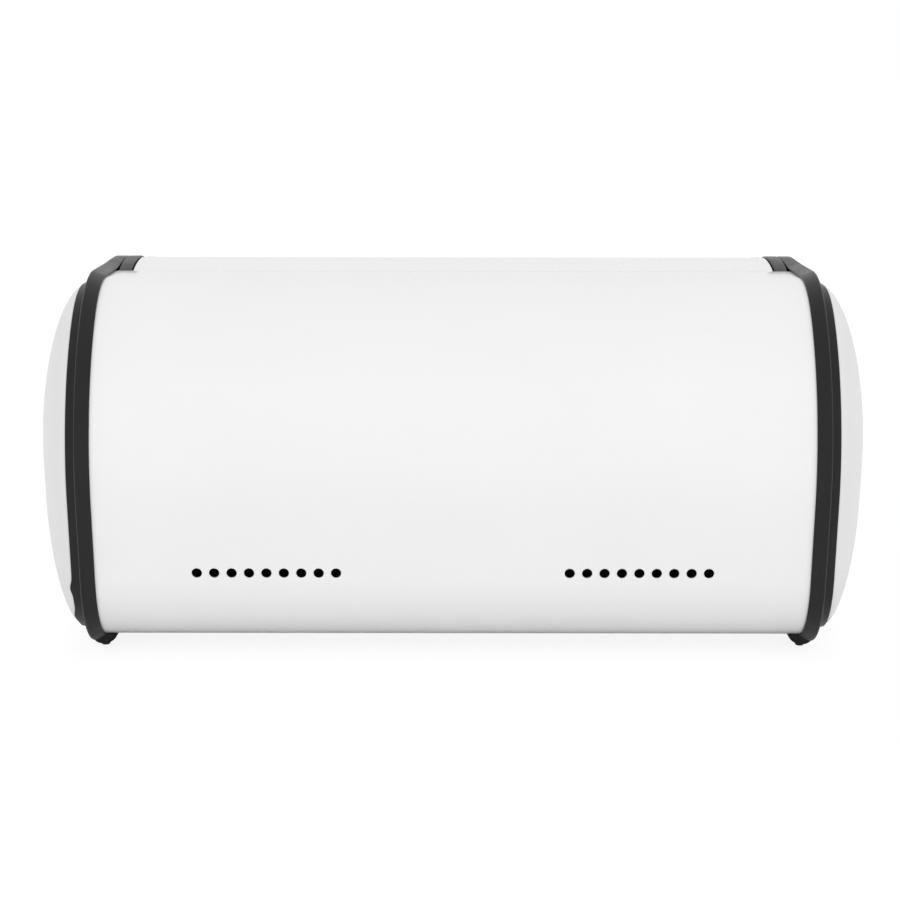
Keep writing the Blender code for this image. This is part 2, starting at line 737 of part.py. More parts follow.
def make_cap_screws(side, mirror, mesh):
    """Pan-head screws on the inner face of the end wall, running out into the cap's posts."""
    for number, point in enumerate(cap_post_places(), start=1):
        seat = place(point, WALL_INNER_X - FIT, mirror)
        add_fastener("cap_screw_{}_{}".format(side, number), mesh, seat, (-mirror, 0, 0))


# Feet


def make_foot_screws(side, mirror, mesh):
    """Screws on the floor of the box, through the sheet into the feet."""
    for end, depth in zip(("rear", "front"), foot_screw_depths()):
        seat = place((depth, GROUND_GAP + SHEET + FIT), FOOT_SCREW_X, mirror)
        add_fastener("foot_screw_{}_{}".format(end, side), mesh, seat, (0, 0, 1))


def make_foot_pads(side, mirror, materials):
    """One rubber pad with rounded ends under each foot."""
    across = (FOOT_INNER_X + FOOT_OUTER_X) / 2.0
    radius = (FOOT_OUTER_X - FOOT_INNER_X) / 2.0 - PAD_MARGIN
    for end, depth in (("rear", REAR_FOOT_DEPTH), ("front", FRONT_FOOT_DEPTH)):
        low = depth + PAD_MARGIN + radius
        high = depth + FOOT_LENGTH - PAD_MARGIN - radius
        outline = arc((low, across), radius, QUARTER_TURN, FULL_TURN - QUARTER_TURN, PAD_STEPS)
        outline += arc((high, across), radius, -QUARTER_TURN, QUARTER_TURN, PAD_STEPS)
        loops = [[place((d, height), x, mirror) for d, x in outline] for height in (0, PAD_THICKNESS)]
        add_object("foot_pad_{}_{}".format(end, side), lofted(loops), materials["rubber"])


# Pivots


def hub_inner_x():
    return CHEEK_WALL_OUTER_X - HUB_LENGTH


def make_pivot_pin(side, mirror, materials):
    """Shoulder pin with a slotted head on the lid's side, gripped by the frame's boss."""
    head_face = hub_inner_x() - FIT
    pin = turned(PIVOT, [
        (head_face - PIN_HEAD, PIN_HEAD_RADIUS * PIN_HEAD_TOP_SHARE),
        (head_face - PIN_HEAD * PIN_HEAD_EDGE_SHARE, PIN_HEAD_RADIUS),
        (head_face, PIN_HEAD_RADIUS),
        (head_face, PIN_RADIUS),
        (boss_face_x() + PIN_GRIP, PIN_RADIUS),
    ], place, mirror)
    pin_object = add_object("pivot_pin_" + side, pin, materials["steel"])
    half = PIN_SLOT_WIDTH / 2.0
    reach = PIN_HEAD_RADIUS + CUT_OVERRUN
    outline = [(PIVOT[0] + a * half, PIVOT[1] + b * reach) for a, b in ((-1, -1), (1, -1), (1, 1), (-1, 1))]
    head_top = head_face - PIN_HEAD
    slot = prism(outline, head_top - CUT_OVERRUN, head_top + PIN_SLOT_DEPTH, place, mirror)
    add_boolean(pin_object, slot, "DIFFERENCE", "pin_slot_" + side)


def tube(faces, outer, inner, placer, mirror):
    """A short tube about the lid's axis, as one closed ring of four edges."""
    bm = bmesh.new()
    corners = ((faces[0], outer), (faces[1], outer), (faces[1], inner), (faces[0], inner))
    rings = []
    for across, radius in corners:
        circle = [on_circle(PIVOT, radius, FULL_TURN * i / ROUND_STEPS) for i in range(ROUND_STEPS)]
        rings.append(add_loop(bm, [placer(point, across, mirror) for point in circle]))
    for first, second in zip(rings, rings[1:] + rings[:1]):
        bridge(bm, first, second)
    bmesh.ops.recalc_face_normals(bm, faces=bm.faces)
    return bm


def make_pivot_rings(side, mirror, hinge, materials):
    """Washer between boss and hub, which stays with the pin, and the bush that turns with the lid."""
    middle = (boss_face_x() + CHEEK_WALL_OUTER_X) / 2.0
    faces = (middle - WASHER_THICKNESS / 2.0, middle + WASHER_THICKNESS / 2.0)
    bore = PIN_RADIUS + FIT
    add_object("pivot_washer_" + side, tube(faces, WASHER_RADIUS, bore, place, mirror), materials["nylon"])
    faces = (hub_inner_x(), CHEEK_WALL_OUTER_X)
    bush = tube(faces, bore + BUSH_WALL, bore, place_on_lid, mirror)
    add_object("pivot_bush_" + side, bush, materials["nylon"], hinge)


# Lid


def lid_arc(radius, start, end, steps):
    return arc(PIVOT, radius, start, end, steps)


def lid_sheet_low_angle():
    """The sheet stands on the foot of the rail, which ends at the lid's lowest angle."""
    return LID_LOW_ANGLE + (RAIL_FOOT + FIT) / LID_RADIUS


def make_lid_panel(hinge, materials):
    low = lid_sheet_low_angle()
    outline = lid_arc(LID_RADIUS, low, LID_TAIL_ANGLE, LID_STEPS)
    outline += lid_arc(LID_RADIUS - LID_SHEET, LID_TAIL_ANGLE, low, LID_STEPS)
    body = prism(outline, -LID_SHEET_HALF_WIDTH, LID_SHEET_HALF_WIDTH, place_on_lid)
    panel = add_object("lid_panel", body, materials["white enamel"], hinge)
    ends = (LID_RADIUS - LID_SHEET - CUT_OVERRUN, LID_RADIUS + CUT_OVERRUN)
    holes = []
    for mirror in (-1.0, 1.0):
        for angle in RIVET_ANGLES:
            holes.append(radial(angle, rivet_x(), [(r, RIVET_RADIUS + FIT) for r in ends],
                                place_on_lid, mirror, RIVET_STEPS))
        holes.append(radial(HANDLE_ANGLE, HANDLE_HALF_LENGTH, [(r, HANDLE_SCREW_RADIUS + FIT) for r in ends],
                            place_on_lid, mirror, SCREW_STEPS))
    add_boolean(panel, joined(holes), "DIFFERENCE", "lid_panel_holes")


def rivet_x():
    return LID_SHEET_HALF_WIDTH - RIVET_EDGE_DISTANCE


def cheek_rim_low():
    """The rim's inner side, which passes outside the front lip."""
    return SIDE.front_radius + CHEEK_LIP_GAP


def cheek_rim_section():
    """Closed section of a cheek's rim as (place across, distance from the pivot)."""
    top = LID_RADIUS + CHEEK_TRIM_RISE
    seat = LID_RADIUS - LID_SHEET - FIT
    seat_low = seat - CHEEK_SEAT
    seat_tip = LID_SHEET_HALF_WIDTH - CHEEK_SEAT_REACH
    low = cheek_rim_low()
    wall_inner = CHEEK_WALL_OUTER_X - CHEEK_WALL
    corners = [
        (seat_tip, seat, 0),
        (CHEEK_TRIM_INNER_X, seat, 0),
        (CHEEK_TRIM_INNER_X, top, CHEEK_TRIM_ROUND),
        (CHEEK_TRIM_OUTER_X, top, CHEEK_TRIM_SEAM_ROUND),
        (CHEEK_TRIM_OUTER_X, low, 0),
        (wall_inner, low, 0),
        (wall_inner, seat_low, 0),
        (seat_tip, seat_low, 0),
    ]
    return rounded_path(corners, closed=True)


def cheek_rim(mirror):
    section = cheek_rim_section()
    loops = []
    for i in range(LID_STEPS + 1):
        angle = LID_LOW_ANGLE + (LID_TAIL_ANGLE - LID_LOW_ANGLE) * i / LID_STEPS
        loops.append([place_on_lid(on_circle(PIVOT, radius, angle), across, mirror)
                      for across, radius in section])
    return lofted(loops)


def cheek_wall(mirror):
    """Sector wall from the hub to the rim, clear of the front lip."""
    radius = (cheek_rim_low() + LID_RADIUS - LID_SHEET) / 2.0
    low = CHEEK_WALL_LOW_ANGLE
    middle = (low + LID_TAIL_ANGLE) / 2.0
    back = on_circle(PIVOT, -HUB_RADIUS / 2.0, middle)
    outline = [back]
    outline.append(on_circle(PIVOT, HUB_RADIUS * HUB_ROOT_SHARE, low - HUB_ROOT_TURN))
    outline += lid_arc(radius, low, LID_TAIL_ANGLE - FIT / LID_RADIUS, LID_STEPS)
    outline.append(on_circle(PIVOT, HUB_RADIUS * HUB_ROOT_SHARE, LID_TAIL_ANGLE + HUB_ROOT_TURN))
    return prism(outline, CHEEK_WALL_OUTER_X - CHEEK_WALL, CHEEK_WALL_OUTER_X, place_on_lid, mirror)


def make_lid_cheek(side, mirror, hinge, materials):
    cheek = add_object("lid_cheek_" + side, cheek_rim(mirror), materials["black plastic"], hinge)
    add_boolean(cheek, cheek_wall(mirror), "UNION", "cheek_wall_" + side)
    hub = turned(PIVOT, [(hub_inner_x(), HUB_RADIUS), (CHEEK_WALL_OUTER_X, HUB_RADIUS)], place_on_lid, mirror)
    add_boolean(cheek, hub, "UNION", "cheek_hub_" + side)
    bore_radius = PIN_RADIUS + FIT + BUSH_WALL + FIT
    hub_ends = (hub_inner_x() - CUT_OVERRUN, CHEEK_WALL_OUTER_X + CUT_OVERRUN)
    cuts = [turned(PIVOT, [(x, bore_radius) for x in hub_ends], place_on_lid, mirror)]
    seat = LID_RADIUS - LID_SHEET - FIT
    seat_ends = (seat - CHEEK_SEAT - CUT_OVERRUN, seat + CUT_OVERRUN)
    stations = [(radius, RIVET_RADIUS + FIT) for radius in seat_ends]
    cuts += [radial(angle, rivet_x(), stations, place_on_lid, mirror, RIVET_STEPS) for angle in RIVET_ANGLES]
    add_boolean(cheek, joined(cuts), "DIFFERENCE", "cheek_bores_" + side)


def rivet_stations():
    """Low round head on the sheet, shank, and the formed head under the cheek's seat."""
    grip = FIT + LID_SHEET + FIT + CHEEK_SEAT + FIT
    formed = RIVET_HEAD_RADIUS * RIVET_FORMED_SHARE
    return [
        (-grip - RIVET_HEAD, formed * PAN_TOP_SHARE),
        (-grip, formed),
        (-grip, RIVET_RADIUS),
        (0, RIVET_RADIUS),
        (0, RIVET_HEAD_RADIUS),
        (RIVET_HEAD * PAN_EDGE_SHARE, RIVET_HEAD_RADIUS * RIVET_FORMED_SHARE),
        (RIVET_HEAD, RIVET_HEAD_RADIUS * RIVET_TOP_SHARE),
    ]


def make_lid_rivets(side, mirror, hinge, mesh):
    for number, angle in enumerate(RIVET_ANGLES, start=1):
        seat = place_on_lid(on_circle(PIVOT, LID_RADIUS + FIT, angle), rivet_x(), mirror)
        direction = (0, -math.cos(angle), math.sin(angle))
        add_fastener("lid_rivet_{}_{}".format(side, number), mesh, seat, direction, hinge)


def make_lid_front_rail(hinge, materials):
    """Channel that takes the lower edge of the lid's sheet."""
    outer = LID_RADIUS + FIT + RAIL_OUTER_WALL
    slot_outer = LID_RADIUS + FIT
    slot_inner = LID_RADIUS - LID_SHEET - FIT
    inner = slot_inner - RAIL_INNER_WALL
    low = LID_LOW_ANGLE
    floor = LID_LOW_ANGLE + RAIL_FOOT / LID_RADIUS
    top = LID_LOW_ANGLE + RAIL_HEIGHT / LID_RADIUS
    outline = lid_arc(outer, low, top, LIP_STEPS) + lid_arc(slot_outer, top, floor, LIP_STEPS)
    outline += lid_arc(slot_inner, floor, top, LIP_STEPS) + lid_arc(inner, top, low, LIP_STEPS)
    reach = LID_SHEET_HALF_WIDTH - CHEEK_SEAT_REACH - FIT
    body = prism(outline, -reach, reach, place_on_lid)
    add_object("lid_front_rail", body, materials["black plastic"], hinge)


def handle_path():
    """Centre line of the bow as (place across, reach out from the lid), from one post to the other."""
    bar = HANDLE_REACH - HANDLE_BAR_THICKNESS / 2.0
    shoulder = bar * HANDLE_SHOULDER_SHARE
    corners = [
        (-HANDLE_HALF_LENGTH, FIT, 0),
        (-HANDLE_HALF_LENGTH, shoulder, HANDLE_BEND_RADIUS),
        (0, bar, HANDLE_HALF_LENGTH),
        (HANDLE_HALF_LENGTH, shoulder, HANDLE_BEND_RADIUS),
        (HANDLE_HALF_LENGTH, FIT, 0),
    ]
    return rounded_path(corners, steps=HANDLE_BEND_STEPS)


def softened(value, power):
    """A sine or cosine pushed towards its extremes, which squares up an ellipse."""
    return math.copysign(abs(value) ** power, value)


def handle_loop(station, run):
    """One flattened section of the bow, square to the centre line's run."""
    across, out = station
    size = math.hypot(*run)
    normal = (-run[1] / size, run[0] / size)
    post_share = abs(run[1]) / size
    width = HANDLE_BAR_WIDTH + (HANDLE_POST_WIDTH - HANDLE_BAR_WIDTH) * post_share
    thickness = HANDLE_BAR_THICKNESS * (1.0 + HANDLE_POST_SWELL_SHARE * post_share)
    loop = []
    for k in range(HANDLE_SECTION_STEPS):
        turn = FULL_TURN * k / HANDLE_SECTION_STEPS
        up = width / 2.0 * softened(math.cos(turn), HANDLE_WIDTH_POWER)
        off = thickness / 2.0 * softened(math.sin(turn), HANDLE_THICKNESS_POWER)
        centre = on_circle(PIVOT, LID_RADIUS + out + normal[1] * off, HANDLE_ANGLE)
        point = (centre[0] - up * math.sin(HANDLE_ANGLE), centre[1] + up * math.cos(HANDLE_ANGLE))
        loop.append(place_on_lid(point, across + normal[0] * off))
    return loop


def make_lid_handle(hinge, materials):
    """Bow of flattened section: posts rise from the lid and bend over into a gently crowned bar."""
    path = handle_path()
    loops = []
    for i, station in enumerate(path):
        before = path[max(i - 1, 0)]
        after = path[min(i + 1, len(path) - 1)]
        loops.append(handle_loop(station, (after[0] - before[0], after[1] - before[1])))
    handle = add_object("lid_handle", lofted(loops), materials["black plastic"], hinge)
    ends = (LID_RADIUS - CUT_OVERRUN, LID_RADIUS + HANDLE_SCREW_LENGTH + FIT)
    stations = [(radius, HANDLE_SCREW_RADIUS + FIT) for radius in ends]
    bores = [radial(HANDLE_ANGLE, HANDLE_HALF_LENGTH, stations, place_on_lid, mirror, SCREW_STEPS)
             for mirror in (-1.0, 1.0)]
    add_boolean(handle, joined(bores), "DIFFERENCE", "handle_bores")


def make_handle_screws(hinge, mesh):
    """Pan heads inside the lid, shanks through the sheet into the handle's posts."""
    for side, mirror in (("left", -1.0), ("right", 1.0)):
        centre = on_circle(PIVOT, LID_RADIUS - LID_SHEET - FIT, HANDLE_ANGLE)
        seat = place_on_lid(centre, HANDLE_HALF_LENGTH, mirror)
        direction = (0, math.cos(HANDLE_ANGLE), -math.sin(HANDLE_ANGLE))
        add_fastener("handle_screw_" + side, mesh, seat, direction, hinge)


# Buffers


def make_lid_buffer(side, mirror, materials):
    """Rubber block on the outside of the lip, just under the closed lid's rail."""
    top_angle = LID_LOW_ANGLE - FIT / LID_RADIUS
    inner = SIDE.front_arc(FIT, top_angle, SIDE.toe_end, 1)[:1]
    inner += arc(SIDE.toe, TOE_RADIUS + FIT, SIDE.toe_end, BUFFER_LOW_ANGLE, LIP_STEPS)
    outer = arc(SIDE.toe, TOE_RADIUS + BUFFER_THICKNESS, BUFFER_LOW_ANGLE, SIDE.toe_end, LIP_STEPS)
    outer += SIDE.front_arc(BUFFER_THICKNESS, SIDE.toe_end, top_angle, 1)[1:]
    half = BUFFER_WIDTH / 2.0
    body = prism(inner + outer, BUFFER_X - half, BUFFER_X + half, place, mirror)
    add_object("lid_buffer_" + side, body, materials["rubber"])


# Fastener meshes, each shared by every fastener of its kind


def make_fastener_meshes(materials):
    steel = materials["steel"]
    cap = pan_head_stations(CAP_SCREW_RADIUS, FIT + WALL + CAP_SCREW_BITE,
                            CAP_SCREW_HEAD_RADIUS, CAP_SCREW_HEAD)
    foot = pan_head_stations(FOOT_SCREW_RADIUS, FIT + SHEET + FOOT_SCREW_BITE,
                             FOOT_SCREW_HEAD_RADIUS, FOOT_SCREW_HEAD)
    handle = pan_head_stations(HANDLE_SCREW_RADIUS, FIT + LID_SHEET + HANDLE_SCREW_LENGTH,
                               HANDLE_SCREW_HEAD_RADIUS, HANDLE_SCREW_HEAD)
    return {
        "cap": fastener_mesh("cap_screw", cap, steel, SCREW_STEPS),
        "foot": fastener_mesh("foot_screw", foot, steel, SCREW_STEPS),
        "handle": fastener_mesh("handle_screw", handle, steel, SCREW_STEPS),
        "rivet": fastener_mesh("lid_rivet", rivet_stations(), materials["white enamel"], RIVET_STEPS),
    }


def clear_scene():
    for item in list(bpy.data.objects):
        bpy.data.objects.remove(item, do_unlink=True)


def main():
    clear_scene()
    materials = make_materials()
    meshes = make_fastener_meshes(materials)
    hinge = make_lid_hinge()
    make_body_shell(materials)
    make_lid_panel(hinge, materials)
    make_lid_front_rail(hinge, materials)
    make_lid_handle(hinge, materials)
    make_handle_screws(hinge, meshes["handle"])
    for side, mirror in (("left", -1.0), ("right", 1.0)):
        make_end_frame(side, mirror, materials)
        make_end_cap(side, mirror, materials)
        make_cap_screws(side, mirror, meshes["cap"])
        make_foot_screws(side, mirror, meshes["foot"])
        make_foot_pads(side, mirror, materials)
        make_pivot_pin(side, mirror, materials)
        make_pivot_rings(side, mirror, hinge, materials)
        make_lid_cheek(side, mirror, hinge, materials)
        make_lid_rivets(side, mirror, hinge, meshes["rivet"])
        make_lid_buffer(side, mirror, materials)


main()
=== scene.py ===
"""Surfaces, finishes and studio of a roll-top bread box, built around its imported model.

X runs across the box, Y towards its back and Z up. The side view is drawn as in the model: depth, measured
forwards from the rearmost line of the sheet, and height above the floor. Lengths are in metres.
"""

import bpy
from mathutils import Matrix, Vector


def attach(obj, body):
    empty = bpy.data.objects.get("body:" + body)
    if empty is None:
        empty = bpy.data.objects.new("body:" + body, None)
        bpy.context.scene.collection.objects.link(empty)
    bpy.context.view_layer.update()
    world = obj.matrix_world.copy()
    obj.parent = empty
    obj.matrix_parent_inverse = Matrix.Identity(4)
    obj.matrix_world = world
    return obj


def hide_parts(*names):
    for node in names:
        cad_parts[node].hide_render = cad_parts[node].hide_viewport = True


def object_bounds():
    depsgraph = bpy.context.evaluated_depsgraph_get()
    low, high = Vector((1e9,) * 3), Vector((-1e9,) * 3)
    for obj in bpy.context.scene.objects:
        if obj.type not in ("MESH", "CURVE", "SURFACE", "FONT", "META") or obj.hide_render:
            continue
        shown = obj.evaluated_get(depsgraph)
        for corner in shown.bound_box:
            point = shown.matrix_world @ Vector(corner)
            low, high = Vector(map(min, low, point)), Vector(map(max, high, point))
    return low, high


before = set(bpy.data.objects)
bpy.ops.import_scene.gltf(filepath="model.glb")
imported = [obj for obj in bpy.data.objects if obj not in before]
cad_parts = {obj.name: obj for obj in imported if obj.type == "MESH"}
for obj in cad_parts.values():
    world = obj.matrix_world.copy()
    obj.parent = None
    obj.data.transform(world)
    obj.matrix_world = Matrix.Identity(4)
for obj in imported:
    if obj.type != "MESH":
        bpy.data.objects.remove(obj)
CAD_BOX = [[float(value) for value in corner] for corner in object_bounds()]

import math

import bmesh
import bpy
import numpy as np
from bpy.props import FloatProperty, FloatVectorProperty, PointerProperty
from mathutils import Matrix, Vector

bl_info = {
    "name": "Roll-top bread box",
    "version": (1, 0, 0),
    "blender": (4, 5, 0),
    "location": "View3D > Sidebar > Bread Box",
    "description": "Surfaces, finishes and studio of a roll-top bread box",
    "category": "Object",
}

# Side outline of the bent sheet
TOP_BEND_RADIUS = 0.054
TOP_BEND_TURN = math.radians(42.7)
BACK_RADIUS = 0.0988
BACK_TURN = math.radians(57.3)
BACK_FLAT = 0.0396
HEEL_RADIUS = 0.043
TOE_RADIUS = 0.022
GROUND_GAP = 0.0077
SHEET = 0.0008
SHEET_HALF_WIDTH = 0.1775
HEM_LENGTH = 0.006
HEM_FOLD_GAP = 0.0001

# Roll lid
LID_RADIUS = 0.1235
LID_RISE = 0.0035
LID_BACK_CLEARANCE = 0.0148
LID_SHEET = 0.0008
LID_UNDER_HOOD = 0.0012
LID_TAIL_OVERLAP = 0.009
LID_LOW_STEP = 0.00202
LID_SHEET_HALF_WIDTH = SHEET_HALF_WIDTH - 0.0108
SILL_OVERLAP = 0.01257
FIT = 0.0003

# End frame
BEAD_RISE = 0.0042
BEAD_LOW_RISE = 0.0012
BEAD_RUN_IN = 0.003
BEAD_INNER_X = 0.1745
BEAD_OUTER_X = 0.1817
RING_OUTER_X = 0.1868
RING_DROP = 0.0028
RING_SLOPE = 0.0008
RING_ROUND = 0.0012
RING_LIP = 0.0044
SWELLING_RISE = 0.0011
SWELLING_LENGTH = 0.0036
SWELLING_HEIGHTS = (0.0371, 0.0190)
LEDGE = 0.0015
LEDGE_REACH = 0.0026
WALL = 0.0020
WALL_INNER_X = 0.1780
CAP_SEAT_X = 0.1824
CAP_SEAT_WIDTH = 0.0034
BOSS_RADIUS = 0.0110
BOSS_LENGTH = 0.0040
MOULDED_EDGE = 0.0004
SOFT_EDGE = 0.0005
ROOT_ROUND = 0.0010
FINE_EDGE = 0.0002

# Domed cap
CAP_SKIN = 0.0016
CAP_COLLAR = 0.0004
CAP_CENTRE = (0.112, 0.101)
CAP_POST_ALONG = 0.050
CAP_POST_UP = 0.038

# Pivots
PIN_RADIUS = 0.0030
PIN_HEAD_RADIUS = 0.0065
PIN_HEAD = 0.0024
PIN_SLOT_WIDTH = 0.0014
PIN_SLOT_DEPTH = 0.0010
PIN_GRIP = 0.0030
PIN_CHAMFER = 0.0004
SLOT_RAMP = 0.00015
BUSH_WALL = 0.0012
HUB_RADIUS = 0.0100
HUB_LENGTH = 0.0066
WASHER_RADIUS = 0.0090
WASHER_THICKNESS = 0.0008

# Cheeks
CHEEK_WALL_OUTER_X = 0.1726
CHEEK_WALL = 0.0018
CHEEK_TRIM_OUTER_X = 0.1740
CHEEK_TRIM_INNER_X = 0.1675
CHEEK_TRIM_RISE = 0.0007
CHEEK_TRIM_ROUND = 0.0010
CHEEK_TRIM_SEAM_ROUND = 0.0004
CHEEK_SEAT = 0.0016
CHEEK_SEAT_REACH = 0.0050
SEAT_EDGE = 0.0003
CHEEK_LIP_GAP = 0.0005
CHEEK_WALL_LIP_GAP = 0.0063

# Rivets, rail and handle
RIVET_HEAD_RADIUS = 0.0026
RIVET_HEAD = 0.0006
RIVET_SEAT = 0.00005
RIVET_EDGE_DISTANCE = 0.0030
RIVET_SHARES = (0.10, 0.325, 0.55, 0.775)
RAIL_HEIGHT = 0.0105
RAIL_OUTER_WALL = 0.0013
RAIL_INNER_WALL = 0.0012
RAIL_FOOT = 0.0016
RAIL_ROUND = 0.0009
RAIL_LOW_ROUND = 0.0008
HANDLE_BAR_THICKNESS = 0.0052
HANDLE_BAR_WIDTH = 0.0110
HANDLE_POST_WIDTH = 0.0130
HANDLE_RUN = 0.0431
HANDLE_SHOULDER_SHARE = 0.92
HANDLE_BEND_RADIUS = 0.0068
HANDLE_POST_SWELL_SHARE = 0.5
HANDLE_WIDTH_POWER = 0.6
HANDLE_THICKNESS_POWER = 0.8

# Screws: shank radius, shank length under the seat, head radius, head height
CAP_SCREW = (0.0014, 0.0103, 0.0030, 0.0018)
FOOT_SCREW = (0.0012, 0.0056, 0.0021, 0.0014)
HANDLE_SCREW = (0.0016, 0.0091, 0.0034, 0.0018)
FOOT_SCREW_X = 0.1725
THREAD_PITCH = 0.0009

# Vents
VENT_PITCH = 0.00849
VENT_COUNT = 9
VENT_INNERMOST_X = 0.05695
VENT_DROP = 0.0032
CELL_STEPS = 6

# Feet, pads and buffers
FOOT_INNER_X = 0.1695
FOOT_OUTER_X = 0.1838
FOOT_BOTTOM = 0.0013
FOOT_LENGTH = 0.030
FOOT_POWER = 2.1
FOOT_MIDDLE_X = 0.1778
FOOT_SLIM = 0.0010
FOOT_STEPS = 40
FOOT_END_INSET = 0.0016
FOOT_END_REACH = 0.0036
REAR_FOOT_SETBACK = 0.0052
FRONT_FOOT_SETBACK = 0.0028
PAD_THICKNESS = 0.0010
PAD_MARGIN = 0.0046
PAD_SHIFT = 0.0005
PAD_EDGE = 0.0004
BUFFER_WIDTH = 0.014
BUFFER_X = 0.128
BUFFER_THICKNESS = 0.0036
BUFFER_ROUND = 0.0009
BUFFER_TURN = math.radians(30.0)

# Finishes: the part of a noise's range that is drawn out to the whole range of a colour or gloss
NOISE_LOW = 0.3
NOISE_HIGH = 0.7

# Studio: lamps as name, place, width and height of the face
WHITE = (1.0, 1.0, 1.0, 1.0)
LAMPS = (
    ("rear_lamp", (-0.4, 3.3, 1.6), 5.0, 2.8),
    ("front_lamp", (0.4, -2.6, 2.7), 3.0, 1.6),
)
LAMP_TARGET = (0.0, 0.0, 0.09)
FLOOR_HALF = 30.0
FLOOR_GLOW = 1.06
FLOOR_EVEN_SHARE = 0.84
FLOOR_FADE_START = 0.3
FLOOR_FADE_END = 0.8
CAMERA_AIM_X = 0.0015
CAMERA_AIM_HEIGHT = 0.1100
SENSOR_WIDTH = 36.0

# Mesh steps
OUTLINE_SPACING = 0.0026
FRAME_SPACING = 0.0013
SHEET_SPACING = 0.0040
CORNER_STEPS = 6
ROUND_STEPS = 64
QUARTER = math.pi / 2.0
SHARP_ANGLE = math.radians(34.0)
MERGE_DISTANCE = 1e-6
SIDES = (("left", -1.0), ("right", 1.0))


# Side view


def on_circle(centre, radius, angles):
    """Points centre + radius (cos a, sin a), with a counted upwards from straight ahead."""
    angles = np.asarray(angles, dtype=float)
    return np.stack([centre[0] + radius * np.cos(angles), centre[1] + radius * np.sin(angles)], axis=-1)


class SideOutline:
    """The end's outline: five arcs that meet tangent to straight runs, as in the model."""

    def __init__(self):
        self.front_radius = LID_RADIUS - LID_RISE
        self.bend_end = QUARTER + TOP_BEND_TURN
        self.back_end = self.bend_end + BACK_TURN
        span = BACK_RADIUS - HEEL_RADIUS
        drop = span * math.sin(self.back_end) + BACK_FLAT * math.cos(self.back_end)
        ahead = span * math.cos(self.back_end) - BACK_FLAT * math.sin(self.back_end)
        self.heel = (BACK_RADIUS + ahead, GROUND_GAP + HEEL_RADIUS)
        self.back = (BACK_RADIUS, self.heel[1] - drop)
        self.bend = tuple(on_circle(self.back, BACK_RADIUS - TOP_BEND_RADIUS, self.bend_end))
        self.top = self.bend[1] + TOP_BEND_RADIUS
        self.pivot = (LID_RADIUS + LID_BACK_CLEARANCE, self.top - self.front_radius)
        fall = self.pivot[1] - GROUND_GAP - TOE_RADIUS
        reach = math.sqrt((self.front_radius - TOE_RADIUS) ** 2 - fall ** 2)
        self.toe = (self.pivot[0] + reach, GROUND_GAP + TOE_RADIUS)
        self.toe_end = -math.atan2(fall, reach)

    def arcs(self):
        """Each arc as centre, radius, first and last angle; the lip runs up the front arc from the toe."""
        return {
            "front": (self.pivot, self.front_radius, self.toe_end, QUARTER),
            "bend": (self.bend, TOP_BEND_RADIUS, QUARTER, self.bend_end),
            "back": (self.back, BACK_RADIUS, self.bend_end, self.back_end),
            "heel": (self.heel, HEEL_RADIUS, self.back_end, 3.0 * QUARTER),
            "toe": (self.toe, TOE_RADIUS, -QUARTER, self.toe_end),
            "lip": (self.pivot, self.front_radius, self.toe_end, SILL_TOP_ANGLE),
        }

    def chain(self, names, spacing):
        """Points and normals along arcs in a row, with the straight runs between them filled in."""
        points, normals = [], []
        for name in names:
            centre, radius, start, end = self.arcs()[name]
            steps = max(3, math.ceil(abs(end - start) * radius / spacing))
            angles = np.linspace(start, end, steps + 1)
            arc = on_circle(centre, radius, angles)
            if points:
                before = points[-1][-1]
                gap = np.linalg.norm(arc[0] - before)
                if gap < MERGE_DISTANCE:
                    arc, angles = arc[1:], angles[1:]
                else:
                    along = np.linspace(0.0, 1.0, math.ceil(gap / spacing) + 1)[1:-1, None]
                    points.append(before + (arc[0] - before) * along)
                    normals.append(np.repeat(normals[-1][-1:], len(along), axis=0))
            points.append(arc)
            normals.append(on_circle((0.0, 0.0), 1.0, angles))
        return np.concatenate(points), np.concatenate(normals)

    def closed(self, spacing):
        """Points and normals of the whole outline, without a repeated last point."""
        points, normals = self.chain(("front", "bend", "back", "heel", "toe"), spacing)
        return points[:-1], normals[:-1]


SIDE = SideOutline()
PIVOT = SIDE.pivot
HOOD_LEVEL = SIDE.top - PIVOT[1] - SHEET - LID_UNDER_HOOD
HOOD_EDGE_DEPTH = PIVOT[0] - math.sqrt(LID_RADIUS ** 2 - HOOD_LEVEL ** 2)
LID_TAIL_ANGLE = math.pi - math.asin(HOOD_LEVEL / LID_RADIUS) + LID_TAIL_OVERLAP / LID_RADIUS
LID_LOW_ANGLE = SIDE.toe_end + LID_LOW_STEP / LID_RADIUS
SILL_TOP_ANGLE = LID_LOW_ANGLE + SILL_OVERLAP / SIDE.front_radius
CHEEK_WALL_LOW_ANGLE = SILL_TOP_ANGLE + CHEEK_WALL_LIP_GAP / SIDE.front_radius
HANDLE_ANGLE = LID_LOW_ANGLE + HANDLE_RUN / LID_RADIUS
RIVET_ANGLES = [LID_LOW_ANGLE + (LID_TAIL_ANGLE - LID_LOW_ANGLE) * share for share in RIVET_SHARES]
BUFFER_LOW_ANGLE = SIDE.toe_end - BUFFER_TURN
VENT_HEIGHT = SIDE.heel[1] - VENT_DROP
REAR_FOOT_DEPTH = SIDE.heel[0] - REAR_FOOT_SETBACK
FRONT_FOOT_DEPTH = SIDE.toe[0] + FRONT_FOOT_SETBACK - FOOT_LENGTH
HANDLE_REACH = 0.0165
ORIGIN_DEPTH = (PIVOT[0] + (LID_RADIUS + HANDLE_REACH) * math.cos(HANDLE_ANGLE) - BEAD_RISE) / 2.0


